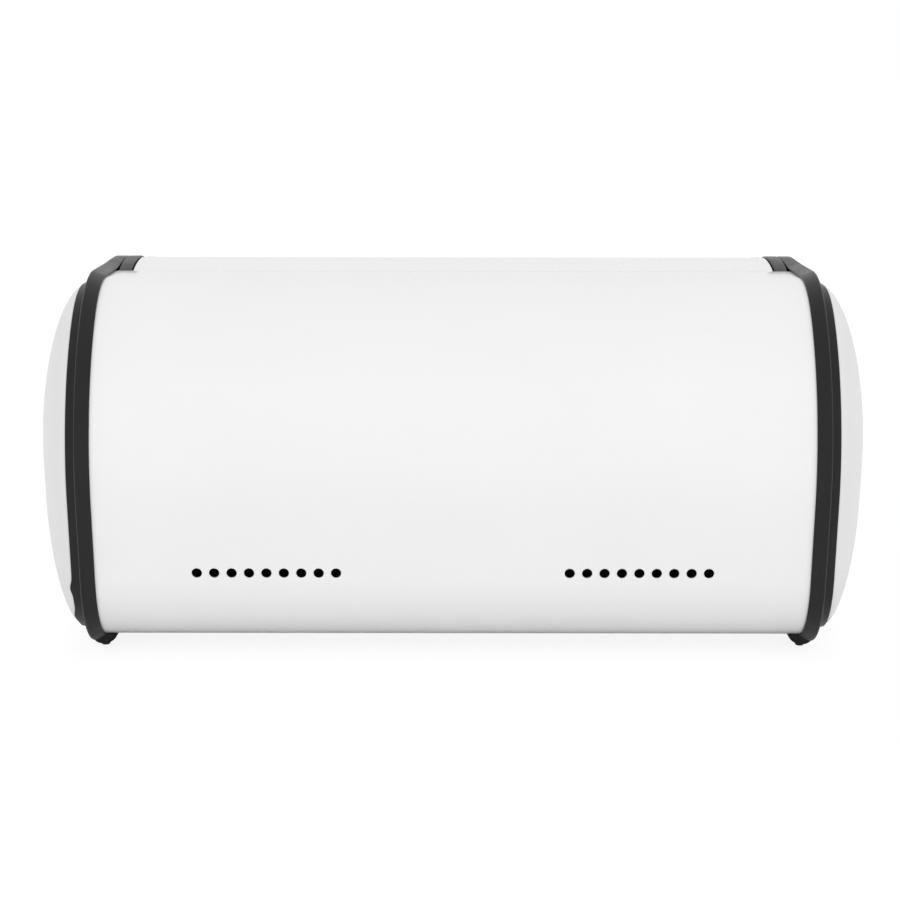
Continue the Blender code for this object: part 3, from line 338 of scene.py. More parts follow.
def place(points, across):
    """World places of side-view points at places across the box; both broadcast against each other."""
    depth, height = points[..., 0], points[..., 1]
    across, depth, height = np.broadcast_arrays(np.asarray(across, dtype=float), depth, height)
    return np.stack([across, ORIGIN_DEPTH - depth, height], axis=-1)


# Meshes from arrays


def grid_faces(rows, columns, wrap_rows=False, wrap_columns=False):
    """Quads between neighbouring vertices of a rows by columns grid."""
    row = np.arange(rows if wrap_rows else rows - 1)
    column = np.arange(columns if wrap_columns else columns - 1)
    i, j = np.meshgrid(row, column, indexing="ij")
    i2, j2 = (i + 1) % rows, (j + 1) % columns
    quads = [i * columns + j, i2 * columns + j, i2 * columns + j2, i * columns + j2]
    return np.stack(quads, axis=-1).reshape(-1, 4)


def face_outwards(vertices, faces):
    """The faces, all turned round if the closed mesh holds a negative volume."""
    total = 0.0
    for face in faces:
        corners = vertices[np.asarray(face)]
        if corners.ndim == 3:
            first, second = corners[:, 1:-1], corners[:, 2:]
            total += np.sum(np.cross(first, second) * corners[:, :1])
        else:
            total += np.sum(np.cross(corners[1:-1], corners[2:]) * corners[:1])
    if total >= 0.0:
        return faces
    return [np.asarray(face)[..., ::-1] for face in faces]


def new_piece(name, vertices, faces, material, merge=False, turn=True):
    """Object from vertices and a list of quad arrays and single faces, with its normals outwards."""
    vertices = np.asarray(vertices, dtype=float).reshape(-1, 3)
    faces = face_outwards(vertices, faces) if turn else faces
    rows = []
    for face in faces:
        face = np.asarray(face)
        rows += face.tolist() if face.ndim == 2 else [face.tolist()]
    mesh = bpy.data.meshes.new(name)
    mesh.from_pydata(vertices.tolist(), [], rows)
    if merge:
        bm = bmesh.new()
        bm.from_mesh(mesh)
        bmesh.ops.remove_doubles(bm, verts=bm.verts, dist=MERGE_DISTANCE)
        bmesh.ops.recalc_face_normals(bm, faces=bm.faces)
        bm.to_mesh(mesh)
        bm.free()
    mesh.validate()
    mesh.materials.append(material)
    mesh.shade_smooth()
    mesh.set_sharp_from_angle(angle=SHARP_ANGLE)
    piece = bpy.data.objects.new(name, mesh)
    bpy.context.scene.collection.objects.link(piece)
    return piece


def sweep(name, loops, material):
    """Closed body through loops[k, i]: quads from loop to loop, and one face over each end loop."""
    rows, columns = loops.shape[:2]
    last = (rows - 1) * columns
    caps = [np.arange(columns)[::-1], last + np.arange(columns)]
    return new_piece(name, loops, [grid_faces(rows, columns, wrap_columns=True)] + caps, material)


def fillet(before, corner, after, radius, steps=CORNER_STEPS):
    """Arc that rounds a corner of a path, tangent to both of its sides."""
    one = (before - corner) / np.linalg.norm(before - corner)
    two = (after - corner) / np.linalg.norm(after - corner)
    half = math.acos(float(np.clip(one @ two, -1.0, 1.0))) / 2.0
    limit = min(np.linalg.norm(before - corner), np.linalg.norm(after - corner)) / 2.0
    reach = min(radius / math.tan(half), limit)
    radius = reach * math.tan(half)
    middle = (one + two) / np.linalg.norm(one + two)
    centre = corner + middle * radius / math.sin(half)
    start, end = corner + one * reach - centre, corner + two * reach - centre
    first = math.atan2(start[1], start[0])
    turn = (math.atan2(end[1], end[0]) - first + math.pi) % (4.0 * QUARTER) - math.pi
    return on_circle(centre, radius, first + turn * np.linspace(0.0, 1.0, steps + 1))


def rounded(corners, closed=True, steps=CORNER_STEPS):
    """Path through rows (a, b, radius), with each corner filleted by its own radius."""
    corners = np.asarray(corners, dtype=float)
    count = len(corners)
    parts = []
    for i, (a, b, radius) in enumerate(corners):
        corner = np.array([a, b])
        if radius > 0.0 and (closed or 0 < i < count - 1):
            parts.append(fillet(corners[i - 1, :2], corner, corners[(i + 1) % count, :2], radius, steps))
        else:
            parts.append(corner[None])
    return np.concatenate(parts)


def lathe(name, centre, stations, material, mirror, steps=ROUND_STEPS, closed=False):
    """Round body about an axis across the box: circles of the stations' radius at their place across."""
    angles = np.linspace(0.0, 2.0 * math.pi, steps, endpoint=False)
    stations = np.asarray(stations, dtype=float)
    unit = on_circle((0.0, 0.0), 1.0, angles)
    circles = np.asarray(centre) + stations[:, 1, None, None] * unit
    loops = place(circles, mirror * stations[:, 0, None])
    if closed:
        faces = [grid_faces(len(stations), steps, wrap_rows=True, wrap_columns=True)]
        return new_piece(name, loops, faces, material)
    return sweep(name, loops, material)


def carried_round(section, start, end):
    """Section rows (across, distance from the pivot) turned about the pivot from start to end."""
    steps = max(2, math.ceil(abs(end - start) * LID_RADIUS / OUTLINE_SPACING))
    angles = np.linspace(start, end, steps + 1)
    distance = section[:, 1]
    side = np.stack([PIVOT[0] + distance * np.cos(angles)[:, None],
                     PIVOT[1] + distance * np.sin(angles)[:, None]], axis=-1)
    return place(side, section[None, :, 0])


def block(name, outline_at, placer, low, high, edge, material, reach=None):
    """Straight body: outline_at(inset) at levels from low to high, its ends drawn in by quarter ellipses.

    At a turn t of an end the outline is drawn in by edge (1 - sin t), reach (1 - cos t) from the end.
    """
    turns = np.linspace(0.0, QUARTER, 2 * CORNER_STEPS + 1)
    insets = edge * (1.0 - np.sin(turns))
    rises = (reach or edge) * (1.0 - np.cos(turns))
    levels = np.concatenate([low + rises, high - rises[::-1]])
    insets = np.concatenate([insets, insets[::-1]])
    loops = np.stack([placer(outline_at(inset), level) for inset, level in zip(insets, levels)])
    return sweep(name, loops, material)


# Finishes


def add_node(tree, kind, inputs=None, **settings):
    """Shader node with its input values by socket name and its settings by attribute."""
    node = tree.nodes.new(kind)
    for key, value in settings.items():
        setattr(node, key, value)
    for key, value in (inputs or {}).items():
        node.inputs[key].default_value = value
    return node


def start_finish(name, colour, roughness, metallic=0.0, coat=0.0, coat_roughness=0.05):
    """Principled material with its plain numbers on the shader's own sockets."""
    material = bpy.data.materials.new(name)
    material.use_nodes = True
    tree = material.node_tree
    shader = tree.nodes["Principled BSDF"]
    shader.inputs["Base Color"].default_value = (*colour, 1.0)
    shader.inputs["Roughness"].default_value = roughness
    shader.inputs["Metallic"].default_value = metallic
    shader.inputs["Coat Weight"].default_value = coat
    shader.inputs["Coat Roughness"].default_value = coat_roughness
    place_node = add_node(tree, "ShaderNodeTexCoord")
    return material, tree, shader, place_node.outputs["Object"]


def noise(tree, where, scale, detail=2.0, stretch=None):
    """Noise over the object's own coordinates, drawn out along an axis where stretch says so."""
    if stretch is not None:
        mapping = add_node(tree, "ShaderNodeMapping", {"Scale": stretch})
        tree.links.new(where, mapping.inputs["Vector"])
        where = mapping.outputs["Vector"]
    node = add_node(tree, "ShaderNodeTexNoise", {"Scale": scale, "Detail": detail, "Roughness": 0.55})
    tree.links.new(where, node.inputs["Vector"])
    return node.outputs["Fac"]


def roughen(tree, shader, value, low, high):
    """Uneven gloss: the value's middle range drawn onto roughness from low to high."""
    node = add_node(tree, "ShaderNodeMapRange",
                    {"From Min": NOISE_LOW, "From Max": NOISE_HIGH, "To Min": low, "To Max": high})
    tree.links.new(value, node.inputs["Value"])
    tree.links.new(node.outputs["Result"], shader.inputs["Roughness"])


def tint(tree, shader, value, first, second):
    """Uneven colour: the value's middle range drawn from one shade to a close second one."""
    ramp = add_node(tree, "ShaderNodeValToRGB")
    ends = ramp.color_ramp.elements
    for end, position, colour in ((ends[0], NOISE_LOW, first), (ends[1], NOISE_HIGH, second)):
        end.position = position
        end.color = (*colour, 1.0)
    tree.links.new(value, ramp.inputs["Fac"])
    tree.links.new(ramp.outputs["Color"], shader.inputs["Base Color"])


def bump(tree, shader, value, strength, distance):
    """Relief in the shader's normal, as high as the distance where the value is 1."""
    node = add_node(tree, "ShaderNodeBump", {"Strength": strength, "Distance": distance})
    tree.links.new(value, node.inputs["Height"])
    tree.links.new(node.outputs["Normal"], shader.inputs["Normal"])
    return node.outputs["Normal"]


def shaded(colour, share):
    """The colour with each channel multiplied by a share."""
    return tuple(channel * share for channel in colour)


def enamel_finish(name, colour):
    """Stoved enamel on sheet steel: a hard clear gloss over a faint orange peel."""
    material, tree, shader, where = start_finish(name, colour, roughness=0.22, coat=0.6, coat_roughness=0.06)
    tint(tree, shader, noise(tree, where, scale=14.0, detail=3.0), shaded(colour, 0.985), colour)
    roughen(tree, shader, noise(tree, where, scale=46.0, detail=4.0), low=0.19, high=0.27)
    peel = bump(tree, shader, noise(tree, where, scale=420.0, detail=1.0), strength=0.05, distance=0.0002)
    tree.links.new(peel, shader.inputs["Coat Normal"])
    return material


def dome_finish(name, colour):
    """Moulded white plastic, a little softer in gloss than the enamel, with a faint flow in its tone."""
    material, tree, shader, where = start_finish(name, colour, roughness=0.34, coat=0.15, coat_roughness=0.12)
    flow = noise(tree, where, scale=9.0, detail=3.0, stretch=(1.0, 1.0, 2.2))
    tint(tree, shader, flow, shaded(colour, 0.98), colour)
    roughen(tree, shader, noise(tree, where, scale=70.0, detail=4.0), low=0.30, high=0.38)
    bump(tree, shader, noise(tree, where, scale=900.0, detail=2.0), strength=0.04, distance=0.0001)
    return material


def trim_finish(name, colour):
    """Satin black moulding with the fine grain of a spark-eroded mould."""
    material, tree, shader, where = start_finish(name, colour, roughness=0.40)
    shader.inputs["Specular IOR Level"].default_value = 0.30
    tint(tree, shader, noise(tree, where, scale=30.0, detail=4.0), shaded(colour, 0.8), shaded(colour, 1.2))
    roughen(tree, shader, noise(tree, where, scale=120.0, detail=3.0), low=0.30, high=0.40)
    bump(tree, shader, noise(tree, where, scale=2600.0, detail=2.0), strength=0.16, distance=0.0001)
    return material


def rubber_finish(name, colour):
    """Matt rubber with a dusty bloom."""
    material, tree, shader, where = start_finish(name, colour, roughness=0.78)
    tint(tree, shader, noise(tree, where, scale=160.0, detail=4.0), colour, shaded(colour, 1.7))
    bump(tree, shader, noise(tree, where, scale=1800.0, detail=3.0), strength=0.22, distance=0.0001)
    return material


def nylon_finish(name, colour):
    """Natural nylon: waxy, with light carried a little way under its surface."""
    material, tree, shader, where = start_finish(name, colour, roughness=0.42)
    shader.inputs["Subsurface Weight"].default_value = 0.12
    shader.inputs["Subsurface Scale"].default_value = 0.002
    tint(tree, shader, noise(tree, where, scale=90.0), shaded(colour, 0.94), colour)
    bump(tree, shader, noise(tree, where, scale=1300.0), strength=0.08, distance=0.0001)
    return material


def zinc_finish(name, colour):
    """Bright zinc plating with fine drawn scratches and uneven gloss."""
    material, tree, shader, where = start_finish(name, colour, roughness=0.30, metallic=1.0)
    tint(tree, shader, noise(tree, where, scale=220.0), shaded(colour, 0.88), colour)
    drawn = noise(tree, where, scale=900.0, detail=3.0, stretch=(6.0, 1.0, 1.0))
    roughen(tree, shader, drawn, low=0.22, high=0.40)
    bump(tree, shader, drawn, strength=0.10, distance=0.00005)
    return material


FINISHES = {}


def finish(name):
    """The named finish, made once from the colours that the panel holds."""
    if name not in FINISHES:
        colours = bpy.context.scene.bread_box_colours
        makers = {
            "white_enamel": (enamel_finish, colours.enamel),
            "white_plastic": (dome_finish, colours.dome),
            "black_plastic": (trim_finish, colours.trim),
            "rubber": (rubber_finish, colours.rubber),
            "nylon": (nylon_finish, colours.nylon),
            "steel": (zinc_finish, colours.steel),
        }
        maker, colour = makers[name]
        FINISHES[name] = maker("finish_" + name, tuple(colour))
    return FINISHES[name]


def settle(piece, body, slot, *nodes):
    """Let a piece ride on its body and hide the model's nodes that it stands for; the slot is not used."""
    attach(piece, body)
    if nodes:
        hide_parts(*nodes)
    return piece


# Bent sheet body


class SheetPath:
    """The sheet's line from hood edge to front lip, read by distance along it."""

    def __init__(self):
        points, normals = SIDE.chain(("bend", "back", "heel", "toe", "lip"), OUTLINE_SPACING / 10.0)
        points = np.concatenate([[[HOOD_EDGE_DEPTH, SIDE.top]], points])
        normals = np.concatenate([normals[:1], normals])
        steps = np.linalg.norm(np.diff(points, axis=0), axis=1)
        self.points, self.normals = points, normals
        self.run = np.concatenate([[0.0], np.cumsum(steps)])
        self.length = self.run[-1]

    def at(self, run, rise):
        """Point at a distance along the sheet, raised along the sheet's normal."""
        columns = [np.interp(run, self.run, self.points[:, k]) for k in (0, 1)]
        lifts = [np.interp(run, self.run, self.normals[:, k]) for k in (0, 1)]
        return np.stack([column + rise * lift for column, lift in zip(columns, lifts)], axis=-1)

    def run_at_height(self, height):
        """Distance along the sheet where its back comes down to a height."""
        low = int(np.argmin(np.abs(self.points[:, 0] - self.points[:, 0].min())))
        back = slice(low, low + int(np.argmin(self.points[low:, 1])))
        return float(np.interp(-height, -self.points[back, 1], self.run[back]))


def vent_columns():
    """Places across of the vents' middles, from left to right."""
    half = VENT_INNERMOST_X + VENT_PITCH * np.arange(VENT_COUNT)
    return np.concatenate([-half[::-1], half])


def sheet_columns():
    """Places across of the sheet's grid lines: fine over the vents' cells, wide elsewhere."""
    half = VENT_PITCH / 2.0
    inner, outer = VENT_INNERMOST_X - half, VENT_INNERMOST_X + (VENT_COUNT - 1) * VENT_PITCH + half
    cells = np.linspace(inner, outer, VENT_COUNT * CELL_STEPS + 1)
    middle = np.linspace(-inner, inner, 13)
    edge = np.linspace(outer, SHEET_HALF_WIDTH, 7)[1:]
    return np.concatenate([-edge[::-1], -cells[::-1], middle[1:-1], cells, edge])


def sheet_runs(path, vent_run):
    """Distances along the sheet of its grid lines, fine over the row of vents."""
    half = VENT_PITCH / 2.0
    before = np.linspace(0.0, vent_run - half, math.ceil((vent_run - half) / SHEET_SPACING) + 1)
    cells = np.linspace(vent_run - half, vent_run + half, CELL_STEPS + 1)
    rest = path.length - vent_run - half
    after = np.linspace(vent_run + half, path.length, math.ceil(rest / SHEET_SPACING) + 1)
    return np.concatenate([before, cells[1:-1], after]), len(before) - 1


def cell_border():
    """Offsets round a square cell, in order, at the grid's own lines."""
    side = np.linspace(-1.0, 1.0, CELL_STEPS + 1)[:-1] * VENT_PITCH / 2.0
    edge = np.full_like(side, VENT_PITCH / 2.0)
    corners = [(side, -edge), (edge, side), (-side, edge), (-edge, -side)]
    return np.concatenate([np.stack(pair, axis=1) for pair in corners])


def vent_rings(radius, roll):
    """Rings of one vent as (offsets across and along, rise): square to circle, rolled edge, bore, and back.

    Between the cell's border b and the circle c of the same bearing the point is b + (c - b) t. The edge is
    a quarter circle of the roll's radius, and the bore runs on to the inner skin.
    """
    border = cell_border()
    bearing = border / np.linalg.norm(border, axis=1)[:, None]
    rings = []
    for share in (0.0, 0.4, 0.75, 1.0):
        rings.append((border + (bearing * (radius + roll) - border) * share, 0.0))
    for turn in np.linspace(0.0, QUARTER, 5)[1:]:
        rings.append((bearing * (radius + roll - roll * math.sin(turn)), -roll * (1.0 - math.cos(turn))))
    for share in (1.0, 0.6, 0.0):
        rings.append((border + (bearing * radius - border) * share, -SHEET))
    return rings


def sheet_loop(path, runs):
    """Closed line round the sheet's section as (run, rise) rows: out on the face, back on the inside."""
    turns = np.linspace(0.0, math.pi, 6)[1:-1]
    half = SHEET / 2.0
    lip = np.stack([path.length + half * np.sin(turns), -half + half * np.cos(turns)], axis=1)
    hood = np.stack([-half * np.sin(turns), -half - half * np.cos(turns)], axis=1)
    outer = np.stack([runs, np.zeros_like(runs)], axis=1)
    inner = np.stack([runs[::-1], np.full_like(runs, -SHEET)], axis=1)
    return np.concatenate([outer, lip, inner, hood])


def sheet_point(path, run, rise):
    """Point of the sheet, also a little past its two cut edges, where it goes straight on."""
    inside = np.clip(run, 0.0, path.length)
    spare = run - inside
    along = path.at(inside, rise)
    start = path.points[0] - path.points[1]
    end = path.points[-1] - path.points[-2]
    start, end = start / np.linalg.norm(start), end / np.linalg.norm(end)
    step = np.where(spare[..., None] < 0.0, -start, end)
    return along + spare[..., None] * step


def make_sheet(sizes):
    """The body's sheet: section loop carried across, with each vent's cell replaced by its rings."""
    path = SheetPath()
    vent_run = path.run_at_height(VENT_HEIGHT)
    runs, first_row = sheet_runs(path, vent_run)
    across = sheet_columns()
    loop = sheet_loop(path, runs)
    side = sheet_point(path, loop[:, 0], loop[:, 1])
    vertices = place(side[None], across[:, None])
    columns, rows = len(across), len(loop)
    quads = grid_faces(columns, rows, wrap_columns=True)
    column, row = quads[:, 0] // rows, quads[:, 0] % rows
    middle = (across[column] + across[np.minimum(column + 1, columns - 1)]) / 2.0
    span = VENT_PITCH * VENT_COUNT / 2.0
    centre = VENT_INNERMOST_X + VENT_PITCH * (VENT_COUNT - 1) / 2.0
    in_block = np.abs(np.abs(middle) - centre) < span
    inner_start = rows - 4 - first_row - CELL_STEPS - 1
    in_outer = (row >= first_row) & (row < first_row + CELL_STEPS)
    in_inner = (row >= inner_start) & (row < inner_start + CELL_STEPS)
    quads = quads[~(in_block & (in_outer | in_inner))]
    rings = vent_rings(sizes.vent_radius, sizes.vent_roll)
    parts, faces = [vertices.reshape(-1, 3)], [quads]
    offset = vertices.size // 3
    for vent in vent_columns():
        patch = np.stack([place(path.at(vent_run + ring[:, 1], rise), vent + ring[:, 0])
                          for ring, rise in rings])
        parts.append(patch.reshape(-1, 3))
        faces.append(offset + grid_faces(len(rings), patch.shape[1], wrap_columns=True)[:, ::-1])
        offset += patch.size // 3
    ends = [np.arange(rows)[::-1], (columns - 1) * rows + np.arange(rows)]
    piece = new_piece("sheet_body", np.concatenate(parts), faces + ends, finish("white_enamel"), merge=True)
    return settle(piece, "box", "white_enamel", "body_shell")


def make_lip_hem():
    """The lip's folded edge, inside the sheet: a strip with a round fold at its top and a cut lower edge."""
    half = WALL_INNER_X - LEDGE_REACH - FIT
    inner, outer = SIDE.front_radius - 2.0 * SHEET - HEM_FOLD_GAP, SIDE.front_radius - SHEET - HEM_FOLD_GAP
    middle, round_half = (inner + outer) / 2.0, (outer - inner) / 2.0
    top = SILL_TOP_ANGLE
    low = top - HEM_LENGTH / SIDE.front_radius
    angles = np.linspace(low, top, 12)
    turns = np.linspace(0.0, math.pi, 7)[1:-1]
    section = np.concatenate([
        on_circle(PIVOT, outer, angles),
        on_circle(PIVOT, middle, top + round_half * np.sin(turns) / middle)
        + (on_circle((0.0, 0.0), 1.0, np.full(5, top)) * round_half * np.cos(turns)[:, None]),
        on_circle(PIVOT, inner, angles[::-1]),
    ])
    loops = place(section[None], np.array([-half, half])[:, None])
    return settle(sweep("lip_hem", loops, finish("white_enamel")), "box", "white_enamel")


# End frames


def frame_section(sizes, inner_rise):
    """Frame's section as rows (rise above the sheet, place across), from the wall's inner to outer face."""
    groove_floor = SHEET_HALF_WIDTH + FIT
    groove_low = -SHEET - FIT
    ledge_tip = WALL_INNER_X - LEDGE_REACH
    edge = MOULDED_EDGE
    return rounded([
        (groove_low - LEDGE, WALL_INNER_X, 0.0),
        (groove_low - LEDGE, ledge_tip, edge),
        (groove_low, ledge_tip, edge),
        (groove_low, groove_floor, 0.0),
        (FIT, groove_floor, 0.0),
        (FIT, BEAD_INNER_X, FIT),
        (inner_rise, BEAD_INNER_X, min(sizes.bead_inner_round, inner_rise / 2.0)),
        (BEAD_RISE, BEAD_OUTER_X, sizes.bead_outer_round),
        (-RING_DROP, BEAD_OUTER_X, edge),
        (-RING_DROP - RING_SLOPE, RING_OUTER_X, RING_ROUND),
        (-RING_LIP, RING_OUTER_X, 0.0),
        (-RING_LIP, CAP_SEAT_X, 0.0),
        (-RING_LIP - CAP_SEAT_WIDTH, CAP_SEAT_X, 0.0),
        (-RING_LIP - CAP_SEAT_WIDTH, WALL_INNER_X + WALL, 0.0),
    ], closed=False)


def ring_swellings(side, points):
    """Two low swellings of the right ring's outer edge, bell curves of the height above the floor."""
    if side != "right":
        return np.zeros(len(points))
    at_rear = points[:, 0] < SIDE.heel[0]
    bells = [np.exp(-((points[:, 1] - height) / SWELLING_LENGTH) ** 2) for height in SWELLING_HEIGHTS]
    return SWELLING_RISE * sum(bells) * at_rear


def make_frame(side, mirror, sizes):
    """Frame: its section raised from the side outline along the normals, at every step round the end.

    Behind the hood's edge the bead slants down to the sheet. From there to the pivot's depth its inner edge
    rises on the smooth step 3t^2 - 2t^3, until it lies flush with the lid's trim.
    """
    points, normals = SIDE.closed(FRAME_SPACING)
    start = HOOD_EDGE_DEPTH - BEAD_RUN_IN
    share = np.clip((points[:, 0] - start) / (PIVOT[0] - start), 0.0, 1.0)
    share = share ** 2 * (3.0 - 2.0 * share)
    slanted, full = frame_section(sizes, BEAD_LOW_RISE), frame_section(sizes, BEAD_RISE)
    section = slanted[:, None] + (full - slanted)[:, None] * share[None, :, None]
    rings = points[None] + section[..., 0, None] * normals[None]
    across = section[..., 1] + ring_swellings(side, points) * (section[..., 1] > CAP_SEAT_X)
    loops = place(rings, mirror * across)
    moulding = sweep("end_moulding_" + side, loops, finish("black_plastic"))
    settle(moulding, "box", "black_plastic", "end_frame_" + side)
    boss = lathe("pivot_boss_" + side, PIVOT, [
        (WALL_INNER_X, BOSS_RADIUS + ROOT_ROUND),
        (WALL_INNER_X - 0.3 * ROOT_ROUND, BOSS_RADIUS + 0.4 * ROOT_ROUND),
        (WALL_INNER_X - ROOT_ROUND, BOSS_RADIUS),
        (WALL_INNER_X - BOSS_LENGTH + MOULDED_EDGE, BOSS_RADIUS),
        (WALL_INNER_X - BOSS_LENGTH, BOSS_RADIUS - MOULDED_EDGE),
        (WALL_INNER_X - BOSS_LENGTH, PIN_RADIUS + FIT),
        (WALL_INNER_X - BOSS_LENGTH + PIN_GRIP, PIN_RADIUS + FIT),
    ], finish("black_plastic"), mirror)
    settle(boss, "box", "black_plastic")


def foot_outline(inset):
    """Foot's section: two quarters of squared ellipses |x/a|^n + |z/b|^n = 1, drawn in by an inset.

    The inner quarter is the wider one, so the lowest place lies under the bead.
    """
    turns = np.linspace(math.pi, 2.0 * math.pi, FOOT_STEPS + 1)
    top = GROUND_GAP - FIT
    inner, outer = FOOT_MIDDLE_X - FOOT_INNER_X - FOOT_SLIM - inset, FOOT_OUTER_X - FOOT_MIDDLE_X - inset
    share = squared(np.cos(turns), 2.0 / FOOT_POWER)
    across = FOOT_MIDDLE_X + share * np.where(share < 0.0, inner, outer)
    drop = top - FOOT_BOTTOM - inset
    return np.stack([across, top + drop * squared(np.sin(turns), 2.0 / FOOT_POWER)], axis=1)


def make_feet(side, mirror):
    """Two feet under each frame: the rounded section run forwards, its ends drawn in by quarter ellipses."""
    for end, depth in (("rear", REAR_FOOT_DEPTH), ("front", FRONT_FOOT_DEPTH)):
        def placer(outline, level):
            side_points = np.stack([np.full(len(outline), level), outline[:, 1]], axis=1)
            return place(side_points, mirror * outline[:, 0])
        foot = block("foot_{}_{}".format(end, side), foot_outline, placer, depth, depth + FOOT_LENGTH,
                     FOOT_END_INSET, finish("black_plastic"), FOOT_END_REACH)
        settle(foot, "box", "black_plastic")


def make_pads(side, mirror):
    """Rubber pads: a long rounded outline with softened upper and lower edges."""
    across = (FOOT_INNER_X + FOOT_OUTER_X) / 2.0 + PAD_SHIFT
    radius = (FOOT_OUTER_X - FOOT_INNER_X) / 2.0 - PAD_MARGIN - PAD_SHIFT
    for end, depth in (("rear", REAR_FOOT_DEPTH), ("front", FRONT_FOOT_DEPTH)):
        low, high = depth + PAD_MARGIN + radius, depth + FOOT_LENGTH - PAD_MARGIN - radius
        turns = np.linspace(QUARTER, 3.0 * QUARTER, 17)

        def outline(inset, low=low, high=high, turns=turns):
            near = on_circle((low, across), radius - inset, turns)
            far = on_circle((high, across), radius - inset, turns + 2.0 * QUARTER)
            return np.concatenate([near, far])

        def placer(points, level):
            side_points = np.stack([points[:, 0], np.full(len(points), level)], axis=1)
            return place(side_points, mirror * points[:, 1])
        pad = block("rubber_pad_{}_{}".format(end, side), outline, placer, 0.0, PAD_THICKNESS, PAD_EDGE,
                    finish("rubber"))
        settle(pad, "box", "rubber", "foot_pad_{}_{}".format(end, side))


# Domed caps


def dome_rise(share, fullness):
    """Bulge (1 - s^n)^(1/n) at a share s of the way out: 1 in the middle, 0 at the rim."""
    return (1.0 - share ** fullness) ** (1.0 / fullness)


def make_dome(side, mirror, sizes):
    """Cap: the rim's outline drawn in towards the cap's middle while it rises on the dome's curve."""
    points, normals = SIDE.closed(OUTLINE_SPACING)
    centre = np.array(CAP_CENTRE)
    rim = points + (-RING_LIP - FIT) * normals
    inner_rim = rim - CAP_SKIN * normals
    seat, base = CAP_SEAT_X + FIT, RING_OUTER_X + CAP_COLLAR
    bulge = sizes.dome_reach - base
    shares = np.sin(np.linspace(QUARTER, 0.0, 46))[:-1]
    loops = []
    for share in shares[::3][::-1]:
        ring = centre + (inner_rim - centre) * share
        reach = base + (bulge - CAP_SKIN) * dome_rise(share, sizes.dome_fullness)
        loops.append(place(ring, mirror * reach))
    loops += [place(inner_rim, mirror * seat), place(rim, mirror * seat)]
    for share in shares:
        ring = centre + (rim - centre) * share
        loops.append(place(ring, mirror * (base + bulge * dome_rise(share, sizes.dome_fullness))))
    cap = sweep("domed_cap_" + side, np.stack(loops), finish("white_plastic"))
    return settle(cap, "box", "white_plastic", "end_cap_" + side)


# Lid


def make_lid_sheet():
    """Lid's sheet: a thin section with rounded side edges, turned about the pivot."""
    low = LID_LOW_ANGLE + (RAIL_FOOT + FIT) / LID_RADIUS
    edge = LID_SHEET / 2.1
    reach = LID_SHEET_HALF_WIDTH
    corners = [(reach, LID_RADIUS, edge), (reach, LID_RADIUS - LID_SHEET, edge),
               (-reach, LID_RADIUS - LID_SHEET, edge), (-reach, LID_RADIUS, edge)]
    section = rounded(corners, steps=4)
    loops = carried_round(section, low, LID_TAIL_ANGLE)
    piece = sweep("lid_sheet", loops, finish("white_enamel"))
    return settle(piece, "lid", "white_enamel", "lid_panel")


def cheek_rim_section():
    """Rim's section as rows (across, distance from the pivot): trim beside the lid, seat under its sheet."""
    top = LID_RADIUS + CHEEK_TRIM_RISE
    seat = LID_RADIUS - LID_SHEET - FIT
    low = SIDE.front_radius + CHEEK_LIP_GAP
    tip = LID_SHEET_HALF_WIDTH - CHEEK_SEAT_REACH
    wall = CHEEK_WALL_OUTER_X - CHEEK_WALL
    return rounded([
        (tip, seat, SEAT_EDGE),
        (CHEEK_TRIM_INNER_X, seat, 0.0),
        (CHEEK_TRIM_INNER_X, top, CHEEK_TRIM_ROUND),
        (CHEEK_TRIM_OUTER_X, top, CHEEK_TRIM_SEAM_ROUND),
        (CHEEK_TRIM_OUTER_X, low, SEAT_EDGE),
        (wall, low, 0.0),
        (wall, seat - CHEEK_SEAT, SOFT_EDGE),
        (tip, seat - CHEEK_SEAT, SEAT_EDGE),
    ])


def cheek_wall_outline(inset):
    """Sector wall's outline: round the hub, out along both edges, and along an arc inside the rim."""
    radius = (SIDE.front_radius + CHEEK_LIP_GAP + LID_RADIUS - LID_SHEET) / 2.0
    low, high = CHEEK_WALL_LOW_ANGLE, LID_TAIL_ANGLE - FIT / LID_RADIUS
    root = HUB_RADIUS * 0.9 - inset
    spare = inset / radius
    back = on_circle(PIVOT, root, np.linspace(high + QUARTER / 2.0, low + 3.5 * QUARTER, 14))
    arc = on_circle(PIVOT, radius, np.linspace(low + spare, high - spare, 60))
    return np.concatenate([arc, back])


